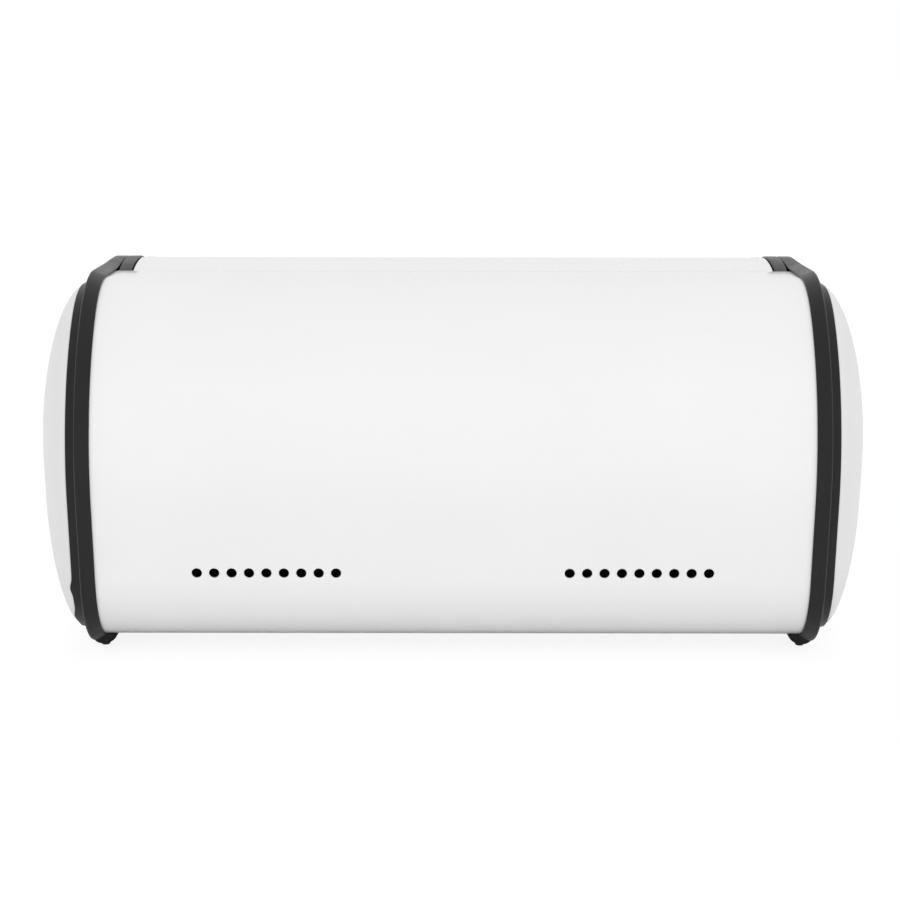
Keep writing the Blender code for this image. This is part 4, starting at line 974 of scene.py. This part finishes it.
def make_cheek(side, mirror):
    """Cheek of the lid: rim turned about the pivot, thin sector wall, and hub with a softened edge."""
    section = cheek_rim_section() * np.array([mirror, 1.0])
    loops = carried_round(section, LID_LOW_ANGLE, LID_TAIL_ANGLE)
    rim = sweep("lid_trim_" + side, loops, finish("black_plastic"))
    settle(rim, "lid", "black_plastic", "lid_cheek_" + side)

    def placer(points, level):
        return place(points, mirror * level)
    wall = block("lid_cheek_wall_" + side, cheek_wall_outline, placer, CHEEK_WALL_OUTER_X - CHEEK_WALL,
                 CHEEK_WALL_OUTER_X, MOULDED_EDGE, finish("black_plastic"))
    settle(wall, "lid", "black_plastic")
    bore = PIN_RADIUS + FIT + BUSH_WALL + FIT
    face, root = CHEEK_WALL_OUTER_X - HUB_LENGTH, CHEEK_WALL_OUTER_X - CHEEK_WALL
    hub = lathe("lid_hub_" + side, PIVOT, [
        (face, bore),
        (face, HUB_RADIUS - SOFT_EDGE),
        (face + 0.4 * SOFT_EDGE, HUB_RADIUS - 0.2 * SOFT_EDGE),
        (face + 1.2 * SOFT_EDGE, HUB_RADIUS),
        (root - ROOT_ROUND, HUB_RADIUS),
        (root - 0.3 * ROOT_ROUND, HUB_RADIUS + 0.4 * ROOT_ROUND),
        (root, HUB_RADIUS + 1.2 * ROOT_ROUND),
        (CHEEK_WALL_OUTER_X - FIT, HUB_RADIUS),
        (CHEEK_WALL_OUTER_X - FIT, bore),
    ], finish("black_plastic"), mirror, closed=True)
    settle(hub, "lid", "black_plastic")


def make_rail():
    """Rail: channel section round the lid's lower edge, with rounded corners, carried straight across."""
    outer = LID_RADIUS + FIT + RAIL_OUTER_WALL
    slot_outer, slot_inner = LID_RADIUS + FIT, LID_RADIUS - LID_SHEET - FIT
    inner = slot_inner - RAIL_INNER_WALL
    low = LID_LOW_ANGLE * LID_RADIUS
    floor, top = low + RAIL_FOOT, low + RAIL_HEIGHT
    corners = rounded([
        (low, outer, RAIL_LOW_ROUND),
        (low, inner, SOFT_EDGE),
        (top, inner, MOULDED_EDGE),
        (top, slot_inner, FINE_EDGE),
        (floor, slot_inner, 0.0),
        (floor, slot_outer, 0.0),
        (top, slot_outer, FINE_EDGE),
        (top, outer, RAIL_ROUND),
    ])
    spaced = [np.linspace(a, b, 5)[:-1] for a, b in zip(corners, np.roll(corners, -1, axis=0))]
    path = np.concatenate(spaced)
    side = np.stack([PIVOT[0] + path[:, 1] * np.cos(path[:, 0] / LID_RADIUS),
                     PIVOT[1] + path[:, 1] * np.sin(path[:, 0] / LID_RADIUS)], axis=-1)
    reach = LID_SHEET_HALF_WIDTH - CHEEK_SEAT_REACH - FIT
    loops = place(side[None], np.array([-reach, reach])[:, None])
    return settle(sweep("lid_rail", loops, finish("black_plastic")), "lid", "black_plastic", "lid_front_rail")


def squared(values, power):
    """A sine or cosine pushed towards its extremes, which squares up an ellipse."""
    return np.copysign(np.abs(values) ** power, values)


def make_handle(sizes):
    """Bow handle: a squared ellipse carried along post, bend and crowned bar, square to the path."""
    half = sizes.handle_half_length
    bar = sizes.handle_reach - HANDLE_BAR_THICKNESS / 2.0
    shoulder = bar * HANDLE_SHOULDER_SHARE
    corners = [(-half, FIT, 0.0), (-half, shoulder, HANDLE_BEND_RADIUS), (0.0, bar, half),
               (half, shoulder, HANDLE_BEND_RADIUS), (half, FIT, 0.0)]
    path = rounded(corners, closed=False, steps=26)
    run = np.gradient(path, axis=0)
    run /= np.linalg.norm(run, axis=1)[:, None]
    normal = np.stack([-run[:, 1], run[:, 0]], axis=1)
    post = np.abs(run[:, 1])
    width = HANDLE_BAR_WIDTH + (HANDLE_POST_WIDTH - HANDLE_BAR_WIDTH) * post
    thickness = HANDLE_BAR_THICKNESS * (1.0 + HANDLE_POST_SWELL_SHARE * post)
    turns = np.linspace(0.0, 2.0 * math.pi, 48, endpoint=False)
    up = width[:, None] / 2.0 * squared(np.cos(turns), HANDLE_WIDTH_POWER)
    off = thickness[:, None] / 2.0 * squared(np.sin(turns), HANDLE_THICKNESS_POWER)
    distance = LID_RADIUS + path[:, 1, None] + normal[:, 1, None] * off
    across = path[:, 0, None] + normal[:, 0, None] * off
    side = np.stack([
        PIVOT[0] + distance * math.cos(HANDLE_ANGLE) - up * math.sin(HANDLE_ANGLE),
        PIVOT[1] + distance * math.sin(HANDLE_ANGLE) + up * math.cos(HANDLE_ANGLE),
    ], axis=-1)
    piece = sweep("bow_handle", place(side, across), finish("black_plastic"))
    return settle(piece, "lid", "black_plastic", "lid_handle")


# Pivots


def make_pivot(side, mirror):
    """Slotted shoulder pin, nylon washer and nylon bush, all round bodies about the lid's axis."""
    head_face = CHEEK_WALL_OUTER_X - HUB_LENGTH - FIT
    boss_face = WALL_INNER_X - BOSS_LENGTH
    shank = lathe("pin_shank_" + side, PIVOT, [
        (head_face - PIN_HEAD / 2.0, PIN_RADIUS),
        (boss_face + PIN_GRIP - PIN_CHAMFER, PIN_RADIUS),
        (boss_face + PIN_GRIP, PIN_RADIUS - PIN_CHAMFER),
    ], finish("steel"), mirror)
    settle(shank, "box", "steel")
    axis = (PIVOT[0], PIVOT[1])
    head = slotted_head("pin_head_" + side, axis, head_face, mirror)
    settle(head, "box", "steel", "pivot_pin_" + side)
    middle = (boss_face + CHEEK_WALL_OUTER_X) / 2.0
    half = WASHER_THICKNESS / 2.0
    bore = PIN_RADIUS + FIT
    edge = FINE_EDGE
    near, far = middle - half, middle + half
    ring = [(near, bore), (near, WASHER_RADIUS - edge), (near + edge, WASHER_RADIUS),
            (far - edge, WASHER_RADIUS), (far, WASHER_RADIUS - edge), (far, bore)]
    washer = lathe("thrust_washer_" + side, PIVOT, ring, finish("nylon"), mirror, closed=True)
    settle(washer, "box", "nylon", "pivot_washer_" + side)
    face = CHEEK_WALL_OUTER_X - HUB_LENGTH
    tube = [(face, bore + edge), (face, bore + BUSH_WALL), (CHEEK_WALL_OUTER_X, bore + BUSH_WALL),
            (CHEEK_WALL_OUTER_X, bore), (face + edge, bore)]
    bush = lathe("hinge_bush_" + side, PIVOT, tube, finish("nylon"), mirror, closed=True)
    settle(bush, "lid", "nylon", "pivot_bush_" + side)


def head_dome(shares, head):
    """Low dome of a head: its height falls from the middle as 1 - 0.35 s^2, and drops at the rounded rim."""
    rim = np.clip((shares - 0.82) / 0.18, 0.0, 1.0)
    return head * (1.0 - 0.35 * shares ** 2) * np.sqrt(np.clip(1.0 - rim ** 2 * 0.92, 0.0, 1.0))


def polar_head(radius, height_at, steps=72, rings=22):
    """Head in its own space: top surface z = height_at(x, y, share) over a disc, flat seat below."""
    shares = np.linspace(0.0, 1.0, rings + 1)[1:]
    turns = np.linspace(0.0, 2.0 * math.pi, steps, endpoint=False)
    x = radius * shares[:, None] * np.cos(turns)
    y = radius * shares[:, None] * np.sin(turns)
    z = height_at(x, y, np.broadcast_to(shares[:, None], x.shape))
    top = np.stack([x, y, z], axis=-1)
    seat = np.stack([x[-1], y[-1], np.zeros(steps)], axis=-1)
    return np.concatenate([top, seat[None]])


def slotted_head(name, axis, face, mirror):
    """Pin head with one straight slot, whose sides are short steep ramps."""
    def height_at(x, y, share):
        slot = np.clip((PIN_SLOT_WIDTH / 2.0 - np.abs(x)) / SLOT_RAMP + 0.5, 0.0, 1.0)
        return np.maximum(head_dome(share, PIN_HEAD) - PIN_SLOT_DEPTH * slot, FINE_EDGE)
    loops = polar_head(PIN_HEAD_RADIUS, height_at)
    side = np.stack([axis[0] + loops[..., 0], axis[1] + loops[..., 1]], axis=-1)
    return sweep(name, place(side, mirror * (face - loops[..., 2])), finish("steel"))


# Screws and rivets


def cross_recess(x, y, radius):
    """Depth share of a cross recess: two tapering arms with short steep ramps at sides and ends."""
    def arm(along, across):
        width = radius * (0.16 - 0.05 * np.abs(along) / radius)
        wide = np.clip((width - np.abs(across)) / (radius * 0.05) + 0.5, 0.0, 1.0)
        long = np.clip((radius * 0.56 - np.abs(along)) / (radius * 0.10) + 0.5, 0.0, 1.0)
        return wide * long
    return np.maximum(arm(x, y), arm(y, x))


def threaded_shank(radius, length, steps=28):
    """Shank in its own space, below z = 0: radius r (0.8 + 0.2 t), with t a ridge wave of z and bearing.

    The last stretch tapers to a point, down to a fifth of the radius.
    """
    rows = max(10, int(length / THREAD_PITCH * 10))
    z = -np.linspace(0.0, length, rows)
    turns = np.linspace(0.0, 2.0 * math.pi, steps, endpoint=False)
    phase = (z[:, None] / THREAD_PITCH + turns[None] / (2.0 * math.pi)) % 1.0
    ridge = 1.0 - np.abs(2.0 * phase - 1.0)
    point = np.clip((length + z) / (2.0 * radius), 0.2, 1.0)[:, None]
    reach = radius * (0.80 + 0.20 * ridge) * point
    depths = np.broadcast_to(z[:, None], reach.shape)
    return np.stack([reach * np.cos(turns), reach * np.sin(turns), depths], axis=-1)


def make_screw(name, sizes, seat, direction, body, node):
    """Pan head with a cross recess on a threaded shank, turned to point out of its seat."""
    shank, length, radius, head = sizes

    def height_at(x, y, share):
        return np.maximum(head_dome(share, head) - 0.75 * head * cross_recess(x, y, radius), head * 0.12)
    top = polar_head(radius, height_at)
    thread = threaded_shank(shank, length)
    turn = np.array(Vector(direction).to_track_quat("Z", "Y").to_matrix())
    vertices, faces, offset = [], [], 0
    for loops in (top, thread):
        rows, columns = loops.shape[:2]
        part = [offset + grid_faces(rows, columns, wrap_columns=True)]
        part += [offset + np.arange(columns)[::-1], offset + (rows - 1) * columns + np.arange(columns)]
        placed = loops.reshape(-1, 3) @ turn.T + np.asarray(seat)
        faces += face_outwards_part(placed, part, offset)
        vertices.append(placed)
        offset += rows * columns
    piece = new_piece(name, np.concatenate(vertices), faces, finish("steel"), turn=False)
    return settle(piece, body, "steel", node)


def face_outwards_part(vertices, faces, offset):
    """Faces of one closed part of a mesh, turned outwards by that part's own volume."""
    local = face_outwards(vertices, [face - offset for face in faces])
    return [face + offset for face in local]


def cap_post_places():
    """Four places round the cap's middle, in the side view."""
    return [(CAP_CENTRE[0] + along * CAP_POST_ALONG, CAP_CENTRE[1] + up * CAP_POST_UP)
            for along in (-1.0, 1.0) for up in (-1.0, 1.0)]


def make_cap_screws(side, mirror):
    """Screws whose heads bear on the end wall and whose shanks run out into the cap's posts."""
    for number, point in enumerate(cap_post_places(), start=1):
        seat = place(np.array(point), mirror * (WALL_INNER_X - FIT))
        make_screw("cap_screw_steel_{}_{}".format(side, number), CAP_SCREW, seat, (-mirror, 0.0, 0.0), "box",
                   "cap_screw_{}_{}".format(side, number))


def make_foot_screws(side, mirror):
    """Screws that stand on the floor of the box, with their shanks down through the sheet."""
    for end, depth in (("rear", REAR_FOOT_DEPTH), ("front", FRONT_FOOT_DEPTH)):
        point = np.array([depth + FOOT_LENGTH / 2.0, GROUND_GAP + SHEET + FIT])
        seat = place(point, mirror * FOOT_SCREW_X)
        make_screw("foot_screw_steel_{}_{}".format(end, side), FOOT_SCREW, seat, (0.0, 0.0, 1.0), "box",
                   "foot_screw_{}_{}".format(end, side))


def make_handle_screws(sizes):
    """Screws from inside the lid, out through the sheet into the handle's posts."""
    for side, mirror in SIDES:
        centre = on_circle(PIVOT, LID_RADIUS - LID_SHEET - FIT, HANDLE_ANGLE)
        seat = place(centre, mirror * sizes.handle_half_length)
        direction = (0.0, math.cos(HANDLE_ANGLE), -math.sin(HANDLE_ANGLE))
        make_screw("handle_screw_steel_" + side, HANDLE_SCREW, seat, direction, "lid", "handle_screw_" + side)


def make_rivets(side, mirror):
    """Rivets: a low dome outside the lid's sheet and a flat formed head under the cheek's seat."""
    grip = RIVET_SEAT + LID_SHEET + 2.0 * FIT + CHEEK_SEAT
    across = LID_SHEET_HALF_WIDTH - RIVET_EDGE_DISTANCE
    turns = np.linspace(0.0, QUARTER, 9)
    dome = [(RIVET_HEAD * math.sin(t), RIVET_HEAD_RADIUS * math.cos(t)) for t in turns[:-1]]
    shank = RIVET_HEAD_RADIUS / 2.0
    stations = np.array([(-grip - RIVET_HEAD, shank), (-grip - RIVET_HEAD * 0.8, RIVET_HEAD_RADIUS * 0.8),
                         (-grip, RIVET_HEAD_RADIUS * 0.85), (-grip, shank), (0.0, shank)] + dome)
    bearing = np.linspace(0.0, 2.0 * math.pi, 32, endpoint=False)
    for number, angle in enumerate(RIVET_ANGLES, start=1):
        distance = LID_RADIUS + RIVET_SEAT + stations[:, 0, None]
        lift = stations[:, 1, None] * np.cos(bearing)
        side_points = np.stack([PIVOT[0] + distance * math.cos(angle) - lift * math.sin(angle),
                                PIVOT[1] + distance * math.sin(angle) + lift * math.cos(angle)], axis=-1)
        loops = place(side_points, mirror * (across + stations[:, 1, None] * np.sin(bearing)))
        piece = sweep("rivet_head_{}_{}".format(side, number), loops, finish("white_enamel"))
        settle(piece, "lid", "white_enamel", "lid_rivet_{}_{}".format(side, number))


# Buffers


def make_buffer(side, mirror):
    """Rubber buffer round the front lip: a rounded strip section carried down lip and toe."""
    top = LID_LOW_ANGLE - FIT / LID_RADIUS
    lip = on_circle(PIVOT, SIDE.front_radius, np.linspace(top, SIDE.toe_end, 4))
    toe = on_circle(SIDE.toe, TOE_RADIUS, np.linspace(SIDE.toe_end, BUFFER_LOW_ANGLE, 18)[1:])
    points = np.concatenate([lip, toe])
    outward = np.concatenate([lip - np.array(PIVOT), toe - np.array(SIDE.toe)])
    outward /= np.linalg.norm(outward, axis=1)[:, None]
    half, low, high = BUFFER_WIDTH / 2.0, FIT, BUFFER_THICKNESS
    section = rounded([(-half, low, 0.0), (-half, high, BUFFER_ROUND),
                       (half, high, BUFFER_ROUND), (half, low, 0.0)])
    count = len(points)
    ends = np.minimum(np.arange(count), np.arange(count)[::-1]) / 3.0
    crown = 1.0 - 0.22 * np.clip(1.0 - ends, 0.0, 1.0) ** 2
    rise = low + (section[None, :, 1] - low) * crown[:, None]
    side_points = points[:, None] + rise[..., None] * outward[:, None]
    piece = sweep("rubber_buffer_" + side, place(side_points, mirror * (BUFFER_X + section[None, :, 0])),
                  finish("rubber"))
    return settle(piece, "box", "rubber", "lid_buffer_" + side)


# Sizes and colours that a user may change


def colour_property(name, description, default):
    """A colour that the panel shows."""
    return FloatVectorProperty(name=name, description=description, default=default, size=3, min=0.0, max=1.0,
                               subtype="COLOR")


def length_property(name, description, default):
    """A length that the panel shows, in metres."""
    return FloatProperty(name=name, description=description, default=default, min=0.0, unit="LENGTH",
                         subtype="DISTANCE", precision=5)


class BreadBoxSizes(bpy.types.PropertyGroup):
    """Sizes that change how the box looks but not how its pieces meet"""
    vent_radius: length_property("Vent radius", "Radius of each vent hole in the back", 0.0025)
    vent_roll: length_property("Vent roll", "Radius of the rolled enamel edge of each vent", 0.00035)
    bead_inner_round: length_property("Bead inner round", "Rounding of the bead on the sheet's side", 0.0012)
    bead_outer_round: length_property("Bead outer round", "Rounding of the bead on the cap's side", 0.0012)
    dome_reach: length_property("Dome reach", "Distance from the middle of the box to a dome's crest",
                                CAD_BOX[1][0])
    dome_fullness: FloatProperty(name="Dome fullness", default=1.5, min=1.0, max=4.0,
                                 description="Power of the dome's curve; higher is boxier")
    handle_half_length: length_property("Handle half length", "From the middle to a handle post", 0.058)
    handle_reach: length_property("Handle reach", "How far the bow stands off the lid", 0.0164)


class BreadBoxColours(bpy.types.PropertyGroup):
    """Colour of each finish"""
    enamel: colour_property("Enamel", "Colour of the sheet steel's enamel", (0.85, 0.85, 0.855))
    dome: colour_property("Dome", "Colour of the domed caps", (0.76, 0.76, 0.77))
    trim: colour_property("Trim", "Colour of the black mouldings", (0.009, 0.009, 0.010))
    rubber: colour_property("Rubber", "Colour of pads and buffers", (0.028, 0.028, 0.028))
    nylon: colour_property("Nylon", "Colour of washers and bushes", (0.72, 0.71, 0.66))
    steel: colour_property("Steel", "Colour of the plated screws and pins", (0.62, 0.62, 0.63))


class BreadBoxStudio(bpy.types.PropertyGroup):
    """Floor, light and camera"""
    floor: colour_property("Floor", "Colour of the floor", (0.92, 0.92, 0.92))
    sky_strength: FloatProperty(name="Sky strength", description="Strength of the even light from all round",
                                default=0.87, min=0.0)
    lamp_brightness: FloatProperty(name="Lamp brightness", default=0.76, min=0.0,
                                   description="Light that each bit of a lamp's face gives")
    camera_distance: length_property("Camera distance", "From the camera to the sheet's back", 1.0538)
    camera_pitch: FloatProperty(name="Camera pitch", description="How far the camera looks down",
                                default=math.radians(10.0), subtype="ANGLE")
    camera_roll: FloatProperty(name="Camera roll", description="Slight turn of the camera about its own line",
                               default=math.radians(0.08), subtype="ANGLE")
    focal_length: FloatProperty(name="Focal length", description="Focal length of the camera in millimetres",
                                default=88.0, min=1.0, subtype="DISTANCE_CAMERA")


# Operators


class BREADBOX_OT_sheet_body(bpy.types.Operator):
    """Build the bent sheet body with its vents and the hem of its front lip"""
    bl_idname = "breadbox.sheet_body"
    bl_label = "Sheet body"

    def execute(self, context):
        make_sheet(context.scene.bread_box_sizes)
        make_lip_hem()
        return {"FINISHED"}


class BREADBOX_OT_end_frames(bpy.types.Operator):
    """Build the black end frames with their bosses and feet"""
    bl_idname = "breadbox.end_frames"
    bl_label = "End frames and feet"

    def execute(self, context):
        for side, mirror in SIDES:
            make_frame(side, mirror, context.scene.bread_box_sizes)
            make_feet(side, mirror)
        return {"FINISHED"}


class BREADBOX_OT_rubber(bpy.types.Operator):
    """Build the rubber pads under the feet and the buffers on the front lip"""
    bl_idname = "breadbox.rubber"
    bl_label = "Pads and buffers"

    def execute(self, context):
        for side, mirror in SIDES:
            make_pads(side, mirror)
            make_buffer(side, mirror)
        return {"FINISHED"}


class BREADBOX_OT_domed_caps(bpy.types.Operator):
    """Build the white domed caps"""
    bl_idname = "breadbox.domed_caps"
    bl_label = "Domed caps"

    def execute(self, context):
        for side, mirror in SIDES:
            make_dome(side, mirror, context.scene.bread_box_sizes)
        return {"FINISHED"}


class BREADBOX_OT_lid(bpy.types.Operator):
    """Build the lid's sheet, cheeks and front rail"""
    bl_idname = "breadbox.lid"
    bl_label = "Roll lid"

    def execute(self, context):
        make_lid_sheet()
        make_rail()
        for side, mirror in SIDES:
            make_cheek(side, mirror)
        return {"FINISHED"}


class BREADBOX_OT_handle(bpy.types.Operator):
    """Build the bow handle on the lid"""
    bl_idname = "breadbox.handle"
    bl_label = "Bow handle"

    def execute(self, context):
        make_handle(context.scene.bread_box_sizes)
        return {"FINISHED"}


class BREADBOX_OT_pivots(bpy.types.Operator):
    """Build the pivot pins, washers and bushes"""
    bl_idname = "breadbox.pivots"
    bl_label = "Lid pivots"

    def execute(self, context):
        for side, mirror in SIDES:
            make_pivot(side, mirror)
        return {"FINISHED"}


class BREADBOX_OT_fasteners(bpy.types.Operator):
    """Build the screws and the lid's rivets"""
    bl_idname = "breadbox.fasteners"
    bl_label = "Screws and rivets"

    def execute(self, context):
        for side, mirror in SIDES:
            make_cap_screws(side, mirror)
            make_foot_screws(side, mirror)
            make_rivets(side, mirror)
        make_handle_screws(context.scene.bread_box_sizes)
        return {"FINISHED"}


class BREADBOX_OT_studio(bpy.types.Operator):
    """Set up the floor, the soft light and the camera"""
    bl_idname = "breadbox.studio"
    bl_label = "Studio"

    def execute(self, context):
        studio = context.scene.bread_box_studio
        make_floor(studio)
        make_sky(studio)
        make_lamps(studio)
        make_camera(studio)
        context.scene.view_settings.view_transform = "Standard"
        return {"FINISHED"}


class BREADBOX_PT_panel(bpy.types.Panel):
    """Sizes, colours and build steps of the bread box"""
    bl_idname = "BREADBOX_PT_panel"
    bl_label = "Bread Box"
    bl_space_type = "VIEW_3D"
    bl_region_type = "UI"
    bl_category = "Bread Box"

    def draw(self, context):
        layout = self.layout
        for group in ("bread_box_sizes", "bread_box_colours", "bread_box_studio"):
            settings = getattr(context.scene, group)
            box = layout.box()
            for name in settings.bl_rna.properties.keys():
                if name not in ("rna_type", "name"):
                    box.prop(settings, name)
        for operator in BUILD_STEPS:
            layout.operator(operator.bl_idname)


BUILD_STEPS = (BREADBOX_OT_sheet_body, BREADBOX_OT_end_frames, BREADBOX_OT_rubber, BREADBOX_OT_domed_caps,
               BREADBOX_OT_lid, BREADBOX_OT_handle, BREADBOX_OT_pivots, BREADBOX_OT_fasteners,
               BREADBOX_OT_studio)
GROUPS = {
    "bread_box_sizes": BreadBoxSizes,
    "bread_box_colours": BreadBoxColours,
    "bread_box_studio": BreadBoxStudio,
}


# Studio


def seen_directly(tree):
    """Share that is 1 for the camera's own rays, so that the studio shows at its full brightness behind the
    object.
    """
    return add_node(tree, "ShaderNodeLightPath").outputs["Is Camera Ray"]


def make_floor(studio):
    """Wide plain floor: mostly even white, all of it far away, and the rest takes the object's shadow."""
    material = bpy.data.materials.new("studio_floor")
    material.use_nodes = True
    tree = material.node_tree
    tree.nodes.remove(tree.nodes["Principled BSDF"])
    lit = add_node(tree, "ShaderNodeBsdfDiffuse", {"Color": (*studio.floor, 1.0)})
    even = add_node(tree, "ShaderNodeEmission", {"Color": WHITE, "Strength": FLOOR_GLOW})
    where = add_node(tree, "ShaderNodeTexCoord")
    far = add_node(tree, "ShaderNodeVectorMath", operation="LENGTH")
    tree.links.new(where.outputs["Object"], far.inputs[0])
    fade = add_node(tree, "ShaderNodeMapRange",
                    {"From Min": FLOOR_FADE_START, "From Max": FLOOR_FADE_END,
                     "To Min": FLOOR_EVEN_SHARE, "To Max": 1.0},
                    interpolation_type="SMOOTHSTEP")
    tree.links.new(far.outputs["Value"], fade.inputs["Value"])
    share = add_node(tree, "ShaderNodeMath", operation="MULTIPLY")
    tree.links.new(seen_directly(tree), share.inputs[0])
    tree.links.new(fade.outputs["Result"], share.inputs[1])
    mix = add_node(tree, "ShaderNodeMixShader")
    tree.links.new(share.outputs[0], mix.inputs["Fac"])
    tree.links.new(lit.outputs[0], mix.inputs[1])
    tree.links.new(even.outputs[0], mix.inputs[2])
    tree.links.new(mix.outputs[0], tree.nodes["Material Output"].inputs["Surface"])
    half = FLOOR_HALF
    corners = [(-half, -half, 0.0), (half, -half, 0.0), (half, half, 0.0), (-half, half, 0.0)]
    mesh = bpy.data.meshes.new("floor")
    mesh.from_pydata(corners, [], [(0, 1, 2, 3)])
    mesh.materials.append(material)
    floor = bpy.data.objects.new("floor", mesh)
    bpy.context.scene.collection.objects.link(floor)


def make_sky(studio):
    """Even light from all round, which shows as white behind the object."""
    world = bpy.data.worlds.new("studio_sky")
    world.use_nodes = True
    tree = world.node_tree
    background = tree.nodes["Background"]
    background.inputs["Color"].default_value = WHITE
    strength = add_node(tree, "ShaderNodeMapRange", {"To Min": studio.sky_strength, "To Max": 1.0})
    tree.links.new(seen_directly(tree), strength.inputs["Value"])
    tree.links.new(strength.outputs["Result"], background.inputs["Strength"])
    bpy.context.scene.world = world


def make_lamp(name, place_at, width, height, brightness):
    """Area lamp whose power grows with its face. It lights the object without a bright patch in its gloss."""
    light = bpy.data.lights.new(name, "AREA")
    light.shape = "RECTANGLE"
    light.size = width
    light.size_y = height
    light.energy = math.pi * width * height * brightness
    lamp = bpy.data.objects.new(name, light)
    lamp.location = place_at
    lamp.visible_glossy = False
    aim = Vector(LAMP_TARGET) - Vector(place_at)
    lamp.rotation_mode = "QUATERNION"
    lamp.rotation_quaternion = aim.to_track_quat("-Z", "Y")
    bpy.context.scene.collection.objects.link(lamp)


def make_lamps(studio):
    """A very wide soft lamp behind the camera, and a higher one on the far side."""
    for name, place_at, width, height in LAMPS:
        make_lamp(name, place_at, width, height, studio.lamp_brightness)


def make_camera(studio):
    """Camera behind the box, looking down at it, aimed at the middle of the sheet's back."""
    pitch = studio.camera_pitch
    aim = Vector((CAMERA_AIM_X, ORIGIN_DEPTH, CAMERA_AIM_HEIGHT))
    data = bpy.data.cameras.new("photo_camera")
    data.lens = studio.focal_length
    data.sensor_fit = "HORIZONTAL"
    data.sensor_width = SENSOR_WIDTH
    camera = bpy.data.objects.new("photo_camera", data)
    camera.location = aim + Vector((0.0, math.cos(pitch), math.sin(pitch))) * studio.camera_distance
    turn = Matrix.Rotation(math.pi, 3, "Z") @ Matrix.Rotation(QUARTER - pitch, 3, "X")
    roll = Matrix.Rotation(studio.camera_roll, 3, "Z")
    camera.rotation_euler = (turn @ roll).to_euler()
    bpy.context.scene.collection.objects.link(camera)
    bpy.context.scene.camera = camera


def register():
    """Make the property groups, operators and panel known, and hang the groups on the scene."""
    for group in GROUPS.values():
        bpy.utils.register_class(group)
    for operator in BUILD_STEPS:
        bpy.utils.register_class(operator)
    bpy.utils.register_class(BREADBOX_PT_panel)
    for name, group in GROUPS.items():
        setattr(bpy.types.Scene, name, PointerProperty(type=group))


def unregister():
    """Take back all that register made."""
    for name in GROUPS:
        delattr(bpy.types.Scene, name)
    bpy.utils.unregister_class(BREADBOX_PT_panel)
    for operator in reversed(BUILD_STEPS):
        bpy.utils.unregister_class(operator)
    for group in reversed(list(GROUPS.values())):
        bpy.utils.unregister_class(group)


def main():
    """Build the box step by step."""
    register()
    bpy.ops.breadbox.sheet_body()
    bpy.ops.breadbox.end_frames()
    bpy.ops.breadbox.rubber()
    bpy.ops.breadbox.domed_caps()
    bpy.ops.breadbox.lid()
    bpy.ops.breadbox.handle()
    bpy.ops.breadbox.pivots()
    bpy.ops.breadbox.fasteners()
    bpy.ops.breadbox.studio()


if __name__ == "__main__":
    main()
